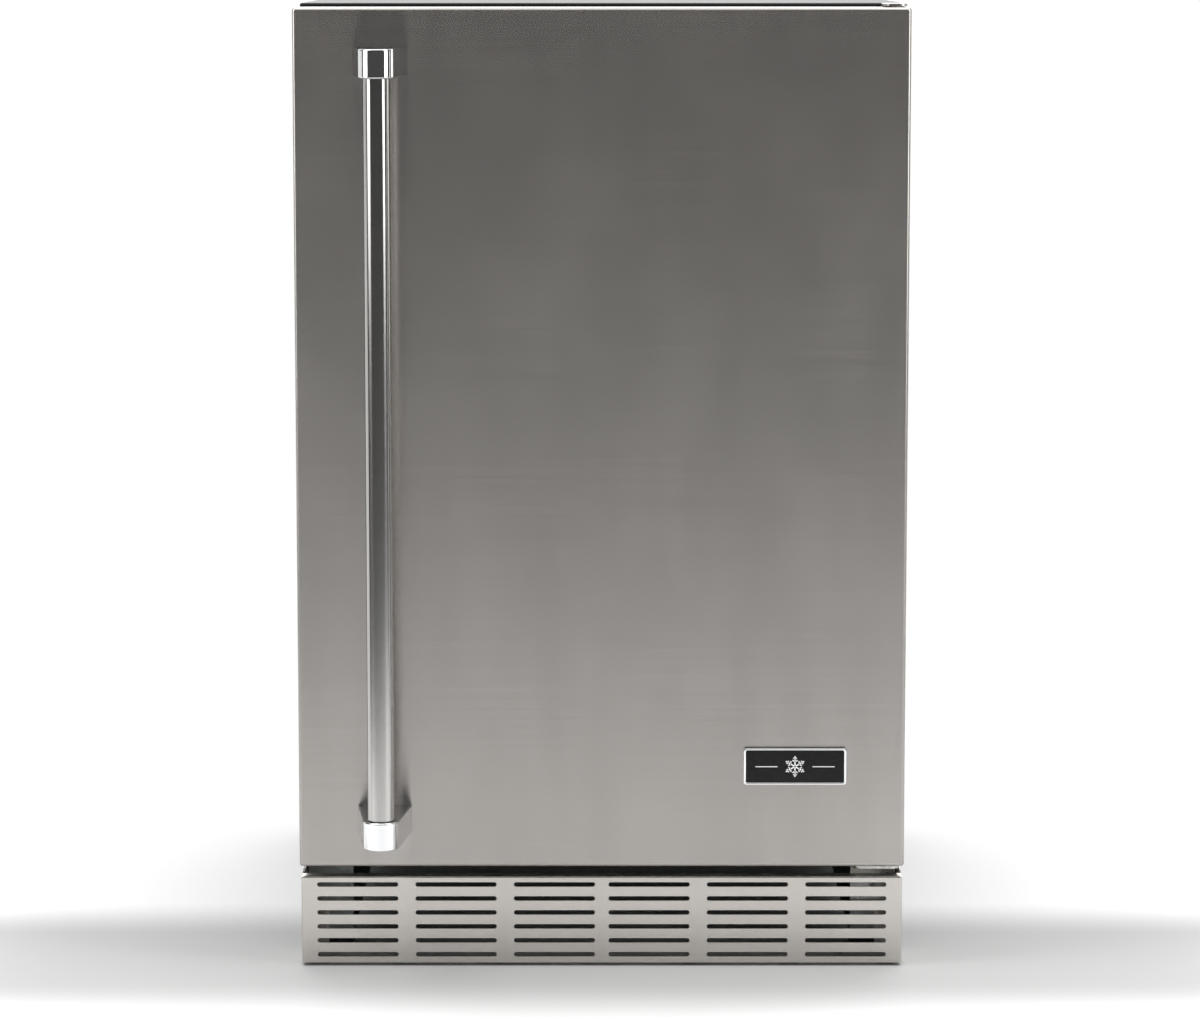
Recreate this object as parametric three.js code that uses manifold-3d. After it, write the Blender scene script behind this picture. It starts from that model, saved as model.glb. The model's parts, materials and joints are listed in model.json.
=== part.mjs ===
// Undercounter refrigerator with one right-hinged door and a front-vented base.
// Millimetres, +X to the right of someone facing the door, -Y towards them, +Z up.
// The origin is the bottom centre of the bounding box, handle included.

import * as THREE from "three";
import { mergeVertices } from "three/addons/utils/BufferGeometryUtils.js";
import Module from "manifold-3d";

const wasm = await Module();
wasm.setup();

// ---------- Overall ----------
const OVERALL_HEIGHT = 826;
const DOOR_WIDTH = 520;
const BODY_DEPTH = 597; // door face to back panel
const CABINET_INSET = 2; // cabinet side behind the door's edge
const CLEAR = 0.3; // between fixed pieces that touch
const RUN = 0.5; // round a pin, spindle or screw that turns

// ---------- Handle ----------
const BAR_DIAMETER = 22.5;
const BAR_WALL = 1.5;
const BAR_REACH = 62.5; // door face to the bar's axis
const BAR_FROM_EDGE = 74; // door's left edge to the bar's axis
const BRACKET_NOSE_RADIUS = 15.5;
const BRACKET_BASE_WIDTH = 46.5;
const BRACKET_HEIGHT = 24;
const BRACKET_FROM_TOP = 33;
const BRACKET_FROM_BOTTOM = 30;

// ---------- Door ----------
const DOOR_THICKNESS = 60;
const DOOR_SHEET = 1;
const DOOR_EDGE_RADIUS = 3;
const DOOR_LIP = 12;
const DOOR_TOP_GAP = 3; // below the cabinet's top
const DOOR_BOTTOM_GAP = 5; // above the cabinet's floor plate
const DOOR_LINER = 2;
const SEAL_GAP = 8; // door back to cabinet front
const GASKET_WIDTH = 16;
const BELLOWS_INSET = 4;
const MAGNET_INSET = 1;
const RIDGE_SIDE_GAP = 13; // moulded ridge to the cabinet's inner wall
const RIDGE_END_GAP = 16;
const RIDGE_WIDTH = 16;
const RIDGE_HEIGHT = 22;

// ---------- Badge ----------
const BADGE_WIDTH = 88;
const BADGE_HEIGHT = 32;
const BADGE_DEPTH = 3;
const BADGE_RIM = 2;
const BADGE_RADIUS = 2.5;
const BADGE_PLATE_SHARE = 0.6; // plate's height as a share of the rim's
const BADGE_FROM_EDGE = 94.5; // door's right edge to the badge's centre
const BADGE_FROM_BOTTOM = 88;

// ---------- Hinges ----------
const PIVOT_INSET = 12; // door's right edge to the pivot
const PIN_RADIUS = 4;
const BUSH_WALL = 4;
const BUSH_LENGTH = 18;
const BUSH_FLANGE = 1.5; // flange beyond the lower bush
const PIN_DEPTH = 14; // pin inside its bush
const TOP_PLATE = 2.2;
const BOTTOM_PLATE = 3;
const HINGE_LEG = 40;
const HINGE_LEG_SHEET = 3;
const HINGE_NOSE = 11; // plate in front of the pivot
const HINGE_GASKET_GAP = 2;
const LOWER_PLATE_INSET = 1.5; // cabinet side to the plate
const LOWER_PLATE_WIDTH = 39;
const STOP_WIDTH = 14;
const STOP_HEIGHT = 2.9;

// ---------- Cabinet ----------
const SHEET = 1;
const LINER = 2;
const WALL = 40; // outside face to inside face
const BACK_WALL = 45;
const BASE_CLEAR = 12; // floor to the base rails
const BASE_HEIGHT = 72; // base rails
const STEP_DEPTH = 190; // machine space, from the back
const STEP_HEIGHT = 178; // machine space above the floor plate
const LEDGE_WIDTH = 8;
const LEDGE_HEIGHT = 6;

// ---------- Base ----------
const RAIL_WIDTH = 39;
const RAIL_SHEET = 1.5;
const GRILLE_SETBACK = 7; // door face to grille face
const GRILLE_TOP_GAP = 10; // under the door
const GRILLE_FLOOR_GAP = 3;
const GRILLE_SHEET = 1.2;
const GRILLE_FLANGE = 12;
const GRILLE_TAB = 20;
const GRILLE_SIDE_INSET = 1; // door's edge to the grille's
const SLOT_LENGTH = 70;
const SLOT_HEIGHT = 4;
const SLOT_GAP = 14.8;
const SLOT_CENTRE_GAP = 11.6;
const SLOT_ROW_PITCH = 12.3;
const SLOT_END_MARGIN = 12;
const SLOT_ROW_MARGIN = 7;

// ---------- Feet ----------
const FOOT_RADIUS = 19;
const FOOT_PAD = 8;
const FOOT_COLLAR_RADIUS = 9;
const STUD_RADIUS = 5;
const STUD_TOP = 52;
const FOOT_SIDE_INSET = 21; // cabinet side to the stud
const FOOT_FRONT_INSET = 30;
const FOOT_BACK_INSET = 35;
const FOOT_CHAMFER = 1.5;
const FOOT_SHOULDER = [3, 2]; // across and up, over the pad
const FOOT_TRAY_GAP = 2; // compressor tray to the studs

// ---------- Inside ----------
const SHELF_NAMES = ["lower", "upper"];
const SHELF_COUNT = SHELF_NAMES.length;
const GLASS = 4;
const SHELF_SIDE_GAP = 1.5;
const SHELF_FRONT_GAP = 9; // behind the door bins
const SHELF_BACK_GAP = 4; // in front of the duct
const SHELF_ABOVE_STEP = 28;
const SHELF_END_GAP = 3; // glass to the ends of its ledges
const LEDGE_START = 5; // ledge behind the shelf's front
const TRIM_HEIGHT = 14;
const TRIM_DEPTH = 12;
const TRIM_WEB = 3; // trim in front of the glass
const HOUSING_WIDTH = 240;
const HOUSING_DEPTH = 130;
const HOUSING_HEIGHT = 46;
const HOUSING_SETBACK = 50; // behind the cabinet's front
const HOUSING_WALL = 2;
const KNOB_RADIUS = 18;
const KNOB_DEPTH = 14;
const KNOB_SKIRT = 5;
const KNOB_GRIP = 8; // across the grip
const SPINDLE_RADIUS = 3;
const CONTROL_SPACING = 60; // housing's centre to the knob and to the switch
const ROCKER_WIDTH = 12;
const ROCKER_HEIGHT = 18;
const ROCKER_GAP = 1.5;
const ROCKER_REACH = 3; // face's ends in front of the pivot
const ROCKER_REST_TILT = -8 * (Math.PI / 180);
const LAMP_WIDTH = 90;
const LAMP_DEPTH = 50;
const LAMP_HEIGHT = 8;
const LAMP_WALL = 1.5;
const DUCT_SIDE_GAP = 28;
const DUCT_DEPTH = 45;
const DUCT_END_GAP = 10;
const DUCT_WALL = 2;

// ---------- Door bins ----------
const BIN_DEPTH = 95;
const BIN_HEIGHT = 80;
const BIN_WALL = 2.5;
const BIN_SIDE_GAP = 8; // to the ridge, where the lugs are
const BIN_FLOOR_GAP = 12; // lowest bin above the ridge
const BIN_TOP_GAP = 85; // highest bin's rim below the ridge
const LUG_WIDTH = 6;
const LUG_HEIGHT = 24;
const LUG_DEPTH = 16;
const EAR_HEIGHT = 14;
const FINGER_SHARE = 0.6; // finger cut-out across the bin's front
const FINGER_FLOOR_SHARE = 0.72; // up the bin's front
const BIN_NAMES = ["lower", "middle", "upper"];
const BIN_COUNT = BIN_NAMES.length;

// ---------- Cold side ----------
const COIL_SIDE_GAP = 3; // return bends to the walls beside them
const EVAPORATOR_HEIGHT = 180;
const EVAPORATOR_DEPTH = 30;
const EVAPORATOR_FINS = 11;
const EVAPORATOR_RUNS = 3;
const EVAPORATOR_FLOOR_GAP = 25;
const EVAPORATOR_WALL_GAP = 6;
const COLD_FAN_RADIUS = 45;
const COLD_FAN_FROM_TOP = 40; // duct's top to the fan
const COLD_FAN_HUB = 11;
const COLD_FAN_WIDTH = 12;
const COLD_FAN_SETBACK = 9; // fan's middle in front of its motor
const COLD_SHAFT_RADIUS = 2.5;
const COLD_MOTOR_REACH = 16; // motor's face in front of the liner
const COLD_STRAP_HEIGHT = 14;
const COLD_MOTOR_RADIUS = 18;

// ---------- Machine space ----------
const TRAY_SHEET = 1.5;
const TRAY_LIP = 12;
const COMPRESSOR_RADIUS = 62;
const COMPRESSOR_HEIGHT = 146;
const COMPRESSOR_WALL = 4;
const COMPRESSOR_DOME = 26; // height of each domed end
const COMPRESSOR_FOOT = [22, 34, 3]; // beyond the shell, half across, thickness
const COMPRESSOR_INSET = 133; // cabinet side to the compressor's centre
const TERMINAL_DEPTH = 26;
const GROMMET_HEIGHT = 12;
const GROMMET_RADIUS = 9;
const GROMMET_OUT = 12; // beyond the shell's side
const GROMMET_ACROSS = 24;
const CONDENSER_HEIGHT = 210;
const CONDENSER_DEPTH = 56;
const CONDENSER_INSET = 76; // cabinet side to the condenser's centre
const CONDENSER_FINS = 7;
const CONDENSER_RUNS = 4;
const CONDENSER_FLOOR_GAP = 4;
const SHROUD_SHEET = 2;
const FAN_RADIUS = 68;
const FAN_TIP_GAP = 4;
const FAN_FLOOR_GAP = 20;
const FAN_HUB = 15;
const FAN_WIDTH = 16;
const FAN_SETBACK = 16; // shroud to the fan's middle
const FAN_SHAFT_RADIUS = 3;
const FAN_STRAP_SHEET = 3;
const FAN_STRAP_HEIGHT = 16;
const FAN_BLADES = 5;
const BLADE_THICKNESS = 1.6;
const BLADE_PITCH = 0.5; // radians
const FAN_MOTOR_RADIUS = 24;
const FAN_MOTOR_LENGTH = 36;
const FAN_MOTOR_SETBACK = 26; // shroud to the motor
const TUBE_RADIUS = 4;
const FIN_END_GAP = 6; // last fin to the end of the straight tube
const DRAIN_RADIUS = 7;
const DRAIN_WALL = 1.5;
const DRAIN_SETBACK = 35; // behind the compressor's centre
const DRIER_RADIUS = 10;
const DRIER_WALL_GAP = 8;
const DRIER_ABOVE_FAN = 45;
const DRIP_TRAY_HEIGHT = 30;
const DRIP_TRAY_WALL = 1.5;
const COVER_INSET = 5; // machine cover inside the back face
const GLAND_RADIUS = 8;
const GLAND_BORE = 4;
const GLAND_FROM_SHROUD = 50;
const GLAND_HEIGHT = 45; // above the rails' floor
const COVER_COLUMNS = 3;
const COVER_COLUMN_GAP = 50;
const COVER_SLOT_PITCH = 16;
const AIR_SLOT_HEIGHT = 5;

// ---------- Places worked out from the sizes ----------
const HALF_DOOR = DOOR_WIDTH / 2;
const HALF_CABINET = HALF_DOOR - CABINET_INSET;
const DEPTH = BODY_DEPTH + CLEAR + BAR_REACH + BRACKET_NOSE_RADIUS;
const DOOR_FRONT = DEPTH / 2 - BODY_DEPTH;
const DOOR_BACK = DOOR_FRONT + DOOR_THICKNESS;
const CABINET_FRONT = DOOR_BACK + SEAL_GAP;
const BACK = DEPTH / 2;
const WRAP_BACK = BACK - SHEET - CLEAR;
const FLOOR_PLATE = BASE_CLEAR + BASE_HEIGHT;
const DOOR_BOTTOM = FLOOR_PLATE + DOOR_BOTTOM_GAP;
const DOOR_TOP = OVERALL_HEIGHT - DOOR_TOP_GAP;
const HALF_INSIDE = HALF_CABINET - WALL;
const INSIDE_FLOOR = FLOOR_PLATE + WALL;
const INSIDE_TOP = OVERALL_HEIGHT - WALL;
const INSIDE_BACK = BACK - BACK_WALL;
const STEP_FRONT = BACK - STEP_DEPTH; // machine space's front wall
const STEP_TOP = FLOOR_PLATE + STEP_HEIGHT; // machine space's ceiling
const INSIDE_STEP_FRONT = STEP_FRONT - WALL;
const INSIDE_STEP_TOP = STEP_TOP + WALL;
const LINER_SIDE = HALF_INSIDE + LINER; // liner's outer side
const PIVOT_X = HALF_DOOR - PIVOT_INSET;
const PIVOT_Y = DOOR_FRONT + DOOR_THICKNESS / 2;
const BAR_X = -HALF_DOOR + BAR_FROM_EDGE;
const HANDLE_Y = DOOR_FRONT - CLEAR;
const GASKET_INNER = LINER_SIDE + CLEAR;
const GASKET_FLOOR = INSIDE_FLOOR - LINER - CLEAR;
const GASKET_CEILING = INSIDE_TOP + LINER + CLEAR;
const RIDGE_SIDE = HALF_INSIDE - RIDGE_SIDE_GAP;
const RIDGE_FLOOR = INSIDE_FLOOR + RIDGE_END_GAP;
const RIDGE_TOP = INSIDE_TOP - RIDGE_END_GAP;
const FOOT_X = HALF_CABINET - FOOT_SIDE_INSET;
const FOOT_FRONT = CABINET_FRONT + FOOT_FRONT_INSET;
const FOOT_BACK = BACK - FOOT_BACK_INSET;
const GRILLE_FRONT = DOOR_FRONT + GRILLE_SETBACK;
const GRILLE_TOP = DOOR_BOTTOM - GRILLE_TOP_GAP;
const HALF_GRILLE = HALF_DOOR - GRILLE_SIDE_INSET;
const BIN_HALF_WIDTH = RIDGE_SIDE - RIDGE_WIDTH - BIN_SIDE_GAP;
const BIN_BACK = DOOR_BACK + 2 * CLEAR;
const SHELF_FRONT = BIN_BACK + BIN_DEPTH + SHELF_FRONT_GAP;
const DUCT_FRONT = INSIDE_BACK - DUCT_DEPTH;
const SHELF_BACK = DUCT_FRONT - SHELF_BACK_GAP;
const HOUSING_BOTTOM = INSIDE_TOP - HOUSING_HEIGHT;
const HOUSING_FRONT = CABINET_FRONT + HOUSING_SETBACK;
const DUCT_BOTTOM = INSIDE_STEP_TOP + DUCT_END_GAP;
const DUCT_TOP = HOUSING_BOTTOM - DUCT_END_GAP;
const COLD_FAN_Z = DUCT_TOP - COLD_FAN_RADIUS - COLD_FAN_FROM_TOP;
const EVAPORATOR_Z = DUCT_BOTTOM + EVAPORATOR_FLOOR_GAP + EVAPORATOR_HEIGHT / 2;
const TRAY_TOP = BASE_CLEAR + RAIL_SHEET + CLEAR + TRAY_SHEET;
const MACHINE_FRONT = STEP_FRONT + SHEET + CLEAR;
const MACHINE_BACK = BACK - COVER_INSET - 2 * SHEET - 2 * CLEAR;
const MACHINE_Y = (MACHINE_FRONT + MACHINE_BACK) / 2;
const CONDENSER_X = -HALF_CABINET + CONDENSER_INSET;
const COMPRESSOR_X = HALF_CABINET - COMPRESSOR_INSET;
// The fan takes its depth from the room between the condenser and the compressor's terminals,
// and two thirds of what is left lie behind its motor.
const FAN_ROOM_START = CONDENSER_X + CONDENSER_DEPTH / 2;
const FAN_ROOM_END = COMPRESSOR_X - COMPRESSOR_RADIUS - TERMINAL_DEPTH - 1;
const FAN_ROOM_LEFT =
  FAN_ROOM_END - FAN_ROOM_START - SHROUD_SHEET - FAN_MOTOR_SETBACK - FAN_MOTOR_LENGTH;
const SHROUD_X = FAN_ROOM_START + FAN_ROOM_LEFT / 3;
const COMPRESSOR_BASE = TRAY_TOP + CLEAR + GROMMET_HEIGHT + CLEAR;
const COMPRESSOR_TOP = COMPRESSOR_BASE + COMPRESSOR_HEIGHT;
const DRIP_TRAY_FLOOR = COMPRESSOR_TOP + 2 * CLEAR;
const DRAIN_Y = MACHINE_Y + DRAIN_SETBACK;
const EVAPORATOR_SPACE = HALF_INSIDE - DUCT_SIDE_GAP - DUCT_WALL - COIL_SIDE_GAP;
const CONDENSER_SPACE = (MACHINE_BACK - MACHINE_FRONT) / 2 - COIL_SIDE_GAP;
const FAN_Z = TRAY_TOP + FAN_RADIUS + FAN_TIP_GAP + FAN_FLOOR_GAP;
const UPPER_BRACKET_Z = DOOR_TOP - BRACKET_FROM_TOP - BRACKET_HEIGHT;
const LOWER_BRACKET_Z = DOOR_BOTTOM + BRACKET_FROM_BOTTOM;
const BADGE_PLACE = [HALF_DOOR - BADGE_FROM_EDGE, DOOR_FRONT, DOOR_BOTTOM + BADGE_FROM_BOTTOM];
const BUSH_RADIUS = PIN_RADIUS + RUN + BUSH_WALL;
const LOWER_PLATE_TOP = DOOR_BOTTOM - STOP_HEIGHT - 2 * CLEAR;
const LOWER_PLATE_SIDE = HALF_CABINET - LOWER_PLATE_INSET;
const HINGE_BACK = CABINET_FRONT - CLEAR;
const KNOB_Z = HOUSING_BOTTOM + HOUSING_HEIGHT / 2;
const LAMP_Y = HOUSING_FRONT + HOUSING_DEPTH / 2;
const COLD_COIL_Y = INSIDE_BACK - EVAPORATOR_DEPTH / 2 - EVAPORATOR_WALL_GAP;
const COLD_MOTOR_FRONT = INSIDE_BACK - COLD_MOTOR_REACH;
const TERMINAL_Z = COMPRESSOR_HEIGHT / 2;
const COMPRESSOR_PLACE = [COMPRESSOR_X, MACHINE_Y, COMPRESSOR_BASE];
const DRIER_PLACE = [
  SHROUD_X + SHROUD_SHEET + CLEAR + DRIER_RADIUS,
  MACHINE_BACK - TRAY_SHEET - DRIER_RADIUS - DRIER_WALL_GAP,
  FAN_Z + DRIER_ABOVE_FAN,
];
const GLAND_PLACE = [SHROUD_X + GLAND_FROM_SHROUD, BASE_CLEAR + GLAND_HEIGHT];
const COVER_BACK = BACK - COVER_INSET;

// ---------- Finishes ----------
function finish(color, roughness, metalness) {
  return new THREE.MeshStandardMaterial({ color, roughness, metalness });
}

const brushedSteel = finish(0x9c9995, 0.35, 1);
const grilleSteel = finish(0xb9b6b2, 0.4, 1);
const chrome = finish(0xd8d8d8, 0.08, 1);
const blackPaint = finish(0x1b1b1c, 0.45, 0.2);
const galvanised = finish(0xa9aba9, 0.5, 0.9);
const zincPlate = finish(0xc4c2bd, 0.35, 0.9);
const whiteLiner = finish(0xe9e9e5, 0.4, 0);
const greyPlastic = finish(0xb4b5b3, 0.5, 0);
const blackPlastic = finish(0x202021, 0.55, 0);
const darkRubber = finish(0x2b2b2c, 0.8, 0);
const foamYellow = finish(0xd9cfa4, 0.9, 0);
const shelfGlass = finish(0xcfe0dc, 0.05, 0);
const clearPlastic = finish(0xd9dfe0, 0.15, 0);
const frostedPlastic = finish(0xf1f1ec, 0.5, 0);
const copper = finish(0xb4704a, 0.35, 1);
const aluminium = finish(0xc9cbcc, 0.4, 1);
const badgeBlack = finish(0x0d0d0e, 0.2, 0);

// ---------- Making solids ----------
const X_AXIS = new THREE.Vector3(1, 0, 0);
const Y_AXIS = new THREE.Vector3(0, 1, 0);
const Z_AXIS = new THREE.Vector3(0, 0, 1);
const TOWARDS_VIEWER = new THREE.Vector3(0, -1, 0);
const OVERRUN = 5; // how far a cutting solid passes the face it cuts
const WELD = 1e-4; // corners nearer than this become one
const PIPE_TENSION = 0.3; // how softly a pipe rounds its bends

function solidOf(geometry) {
  const bare = geometry.index ? geometry.toNonIndexed() : geometry.clone();
  bare.deleteAttribute("normal");
  bare.deleteAttribute("uv");
  const merged = mergeVertices(bare, WELD);
  const mesh = new wasm.Mesh({
    numProp: 3,
    vertProperties: merged.getAttribute("position").array,
    triVerts: new Uint32Array(merged.index.array),
  });
  return new wasm.Manifold(mesh);
}

function geometryOf(solid) {
  const mesh = solid.getMesh();
  const geometry = new THREE.BufferGeometry();
  geometry.setAttribute("position", new THREE.BufferAttribute(mesh.vertProperties, 3));
  geometry.setIndex(new THREE.BufferAttribute(mesh.triVerts, 1));
  const flat = geometry.toNonIndexed();
  flat.computeVertexNormals();
  return flat;
}

function join(first, ...rest) {
  return rest.reduce((whole, piece) => whole.add(piece), first);
}

function cut(whole, ...tools) {
  return tools.reduce((left, tool) => left.subtract(tool), whole);
}

function block(x0, x1, y0, y1, z0, z1) {
  const geometry = new THREE.BoxGeometry(x1 - x0, y1 - y0, z1 - z0);
  geometry.translate((x0 + x1) / 2, (y0 + y1) / 2, (z0 + z1) / 2);
  return solidOf(geometry);
}

// A cylinder along one axis; across is its centre on the other two, in alphabetical order.
function rod(axis, radius, from, to, across, sides = 24) {
  const geometry = new THREE.CylinderGeometry(radius, radius, to - from, sides);
  const middle = (from + to) / 2;
  if (axis === "x") {
    geometry.rotateZ(-Math.PI / 2);
    geometry.translate(middle, across[0], across[1]);
  } else if (axis === "y") {
    geometry.translate(across[0], middle, across[1]);
  } else {
    geometry.rotateX(Math.PI / 2);
    geometry.translate(across[0], across[1], middle);
  }
  return solidOf(geometry);
}

function outline(points) {
  return new THREE.Shape(points.map(([a, b]) => new THREE.Vector2(a, b)));
}

function rectangle(a0, a1, b0, b1) {
  return outline([[a0, b0], [a1, b0], [a1, b1], [a0, b1]]);
}

function roundedRectangle(a0, a1, b0, b1, radius) {
  const path = new THREE.Shape();
  path.moveTo(a0 + radius, b0);
  path.absarc(a1 - radius, b0 + radius, radius, -Math.PI / 2, 0);
  path.absarc(a1 - radius, b1 - radius, radius, 0, Math.PI / 2);
  path.absarc(a0 + radius, b1 - radius, radius, Math.PI / 2, Math.PI);
  path.absarc(a0 + radius, b0 + radius, radius, Math.PI, 1.5 * Math.PI);
  path.closePath();
  return path;
}

// Extrudes a shape drawn in the xy, xz or yz plane, from one place to another along the third axis.
function extrude(shape, plane, from, to, curveSegments = 4) {
  const options = { depth: to - from, bevelEnabled: false, curveSegments };
  const geometry = new THREE.ExtrudeGeometry(shape, options);
  const turn = new THREE.Matrix4();
  if (plane === "xz") {
    turn.makeBasis(X_AXIS, Z_AXIS, TOWARDS_VIEWER).setPosition(0, to, 0);
  } else if (plane === "yz") {
    turn.makeBasis(Y_AXIS, Z_AXIS, X_AXIS).setPosition(from, 0, 0);
  } else {
    turn.setPosition(0, 0, from);
  }
  geometry.applyMatrix4(turn);
  return solidOf(geometry);
}

// A picture-frame ring in the xz plane.
function ring(halfOuter, zLow, zHigh, width, y0, y1) {
  const outer = block(-halfOuter, halfOuter, y0, y1, zLow, zHigh);
  const half = halfOuter - width;
  return cut(outer, block(-half, half, y0 - OVERRUN, y1 + OVERRUN, zLow + width, zHigh - width));
}

// A box with walls of one thickness, open on the side named.
function openBox(x0, x1, y0, y1, z0, z1, wall, open) {
  const inner = {
    x0: x0 + wall,
    x1: x1 - wall,
    y0: y0 + wall,
    y1: y1 - wall,
    z0: z0 + wall,
    z1: z1 - wall,
  };
  inner[open] += open.endsWith("1") ? wall + OVERRUN : -wall - OVERRUN;
  const hollow = block(inner.x0, inner.x1, inner.y0, inner.y1, inner.z0, inner.z1);
  return cut(block(x0, x1, y0, y1, z0, z1), hollow);
}

// A solid of revolution about +Z; the profile runs from the bottom of the axis to the top.
function turned(profile, segments = 24) {
  const points = profile.map(([r, z]) => new THREE.Vector2(r, z));
  const geometry = new THREE.LatheGeometry(points, segments);
  geometry.rotateX(Math.PI / 2);
  return solidOf(geometry);
}

function polygon(radius, sides) {
  const points = [];
  for (let i = 0; i < sides; i++) {
    const angle = (i / sides) * 2 * Math.PI;
    points.push([radius * Math.cos(angle), radius * Math.sin(angle)]);
  }
  return outline(points);
}

function pipe(points, radius, steps, sides = 8) {
  const knots = points.map((p) => new THREE.Vector3(...p));
  const path = new THREE.CatmullRomCurve3(knots, false, "catmullrom", PIPE_TENSION);
  const options = { extrudePath: path, steps, bevelEnabled: false };
  return solidOf(new THREE.ExtrudeGeometry(polygon(radius, sides), options));
}

// Straight tube runs along X stacked in Z, joined by return bends at alternate ends.
function serpentine(halfLength, runs, height, radius) {
  const pitch = height / runs;
  const tubes = [];
  for (let i = 0; i < runs; i++) {
    const z = (i + 0.5) * pitch - height / 2;
    tubes.push(rod("x", radius, -halfLength, halfLength, [0, z], 6));
    if (i < runs - 1) {
      const side = i % 2 ? -1 : 1;
      const bend = [];
      for (let k = 0; k <= 4; k++) {
        const angle = -Math.PI / 2 + (k / 4) * Math.PI;
        const out = halfLength - 2 + (pitch / 2) * Math.cos(angle);
        bend.push([side * out, 0, z + pitch / 2 + (pitch / 2) * Math.sin(angle)]);
      }
      tubes.push(pipe(bend, radius * 0.98, 5, 6));
    }
  }
  return join(...tubes);
}

// A tube-and-fin coil that reaches halfSpace either way, bends included.
function finnedCoil(halfSpace, height, depth, fins, runs) {
  const halfTube = halfSpace - height / runs / 2 - TUBE_RADIUS;
  const half = halfTube - FIN_END_GAP;
  const pieces = [serpentine(halfTube, runs, height, TUBE_RADIUS)];
  for (let i = 0; i < fins; i++) {
    const x = -half + (i / (fins - 1)) * (2 * half - 1);
    pieces.push(block(x, x + 1, -depth / 2, depth / 2, -height / 2, height / 2));
  }
  return join(...pieces);
}

// A hub along +Z with pitched blades round it, and a bore for the motor's shaft.
function fanBlade(radius, hubRadius, width, bore) {
  const pieces = [rod("z", hubRadius, -width / 2, width / 2, [0, 0])];
  for (let i = 0; i < FAN_BLADES; i++) {
    const shape = outline([
      [hubRadius - 3, -hubRadius * 0.45],
      [radius * 0.97, -radius * 0.28],
      [radius * 0.97, radius * 0.2],
      [hubRadius - 3, hubRadius * 0.45],
    ]);
    const options = { depth: BLADE_THICKNESS, bevelEnabled: false };
    const geometry = new THREE.ExtrudeGeometry(shape, options);
    geometry.translate(0, 0, -BLADE_THICKNESS / 2);
    geometry.rotateX(BLADE_PITCH);
    geometry.rotateZ((i / FAN_BLADES) * 2 * Math.PI);
    pieces.push(solidOf(geometry));
  }
  return cut(join(...pieces), rod("z", bore, -width, width / 2 - 2, [0, 0], 12));
}

// ---------- The scene graph ----------
const refrigerator = new THREE.Group();
const cabinet = new THREE.Group();
const door = new THREE.Group();
refrigerator.add(cabinet, door);

function add(group, name, solid, material, place = [0, 0, 0], turn = [0, 0, 0]) {
  const mesh = new THREE.Mesh(geometryOf(solid), material);
  mesh.name = name;
  mesh.position.set(...place);
  mesh.rotation.set(...turn);
  group.add(mesh);
}

// ---------- Cabinet shell ----------
// One sheet bent over the top and both sides, with front returns that the gasket seals on.
function cabinetWrap() {
  const h = HALF_CABINET;
  const s = SHEET;
  const low = BASE_CLEAR - OVERRUN;
  const shell = block(-h, h, CABINET_FRONT, WRAP_BACK, BASE_CLEAR, OVERALL_HEIGHT);
  const hollow = block(
    -h + s, h - s, CABINET_FRONT + s, WRAP_BACK + OVERRUN, low, OVERALL_HEIGHT - s,
  );
  const front = CABINET_FRONT - OVERRUN;
  const back = CABINET_FRONT + 2 * s;
  const opening = block(
    -GASKET_INNER, GASKET_INNER, front, back, GASKET_FLOOR - OVERRUN, GASKET_CEILING,
  );
  const below = block(-h + s, h - s, front, back, 0, GASKET_FLOOR + CLEAR);
  return cut(shell, hollow, opening, below);
}

// Floor plate: up behind the door's lower edge, back under the foam, and over the machine space.
function floorPlate() {
  const s = SHEET;
  const profile = outline([
    [CABINET_FRONT, FLOOR_PLATE],
    [STEP_FRONT + s, FLOOR_PLATE],
    [STEP_FRONT + s, STEP_TOP],
    [WRAP_BACK - CLEAR, STEP_TOP],
    [WRAP_BACK - CLEAR, STEP_TOP + s],
    [STEP_FRONT, STEP_TOP + s],
    [STEP_FRONT, FLOOR_PLATE + s],
    [CABINET_FRONT + s, FLOOR_PLATE + s],
    [CABINET_FRONT + s, GASKET_FLOOR],
    [CABINET_FRONT, GASKET_FLOOR],
  ]);
  const half = HALF_CABINET - SHEET - CLEAR;
  const plate = extrude(profile, "yz", -half, half);
  return cut(plate, drainHole());
}

function drainHole() {
  const low = STEP_TOP - OVERRUN;
  return rod("z", DRAIN_RADIUS + CLEAR, low, INSIDE_STEP_TOP + OVERRUN, [COMPRESSOR_X, DRAIN_Y], 16);
}

// The liner's stepped profile, grown outwards; ungrown, it runs out through the front.
function insideProfile(grow) {
  const front = CABINET_FRONT - (grow ? 0 : OVERRUN);
  return outline([
    [front, INSIDE_FLOOR - grow],
    [INSIDE_STEP_FRONT + grow, INSIDE_FLOOR - grow],
    [INSIDE_STEP_FRONT + grow, INSIDE_STEP_TOP - grow],
    [INSIDE_BACK + grow, INSIDE_STEP_TOP - grow],
    [INSIDE_BACK + grow, INSIDE_TOP + grow],
    [front, INSIDE_TOP + grow],
  ]);
}

// Shelf heights share the space between the machine step and the control housing.
function shelfHeight(index) {
  const first = INSIDE_STEP_TOP + SHELF_ABOVE_STEP;
  const pitch = (HOUSING_BOTTOM - first) / SHELF_COUNT;
  return first + index * pitch;
}

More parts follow.
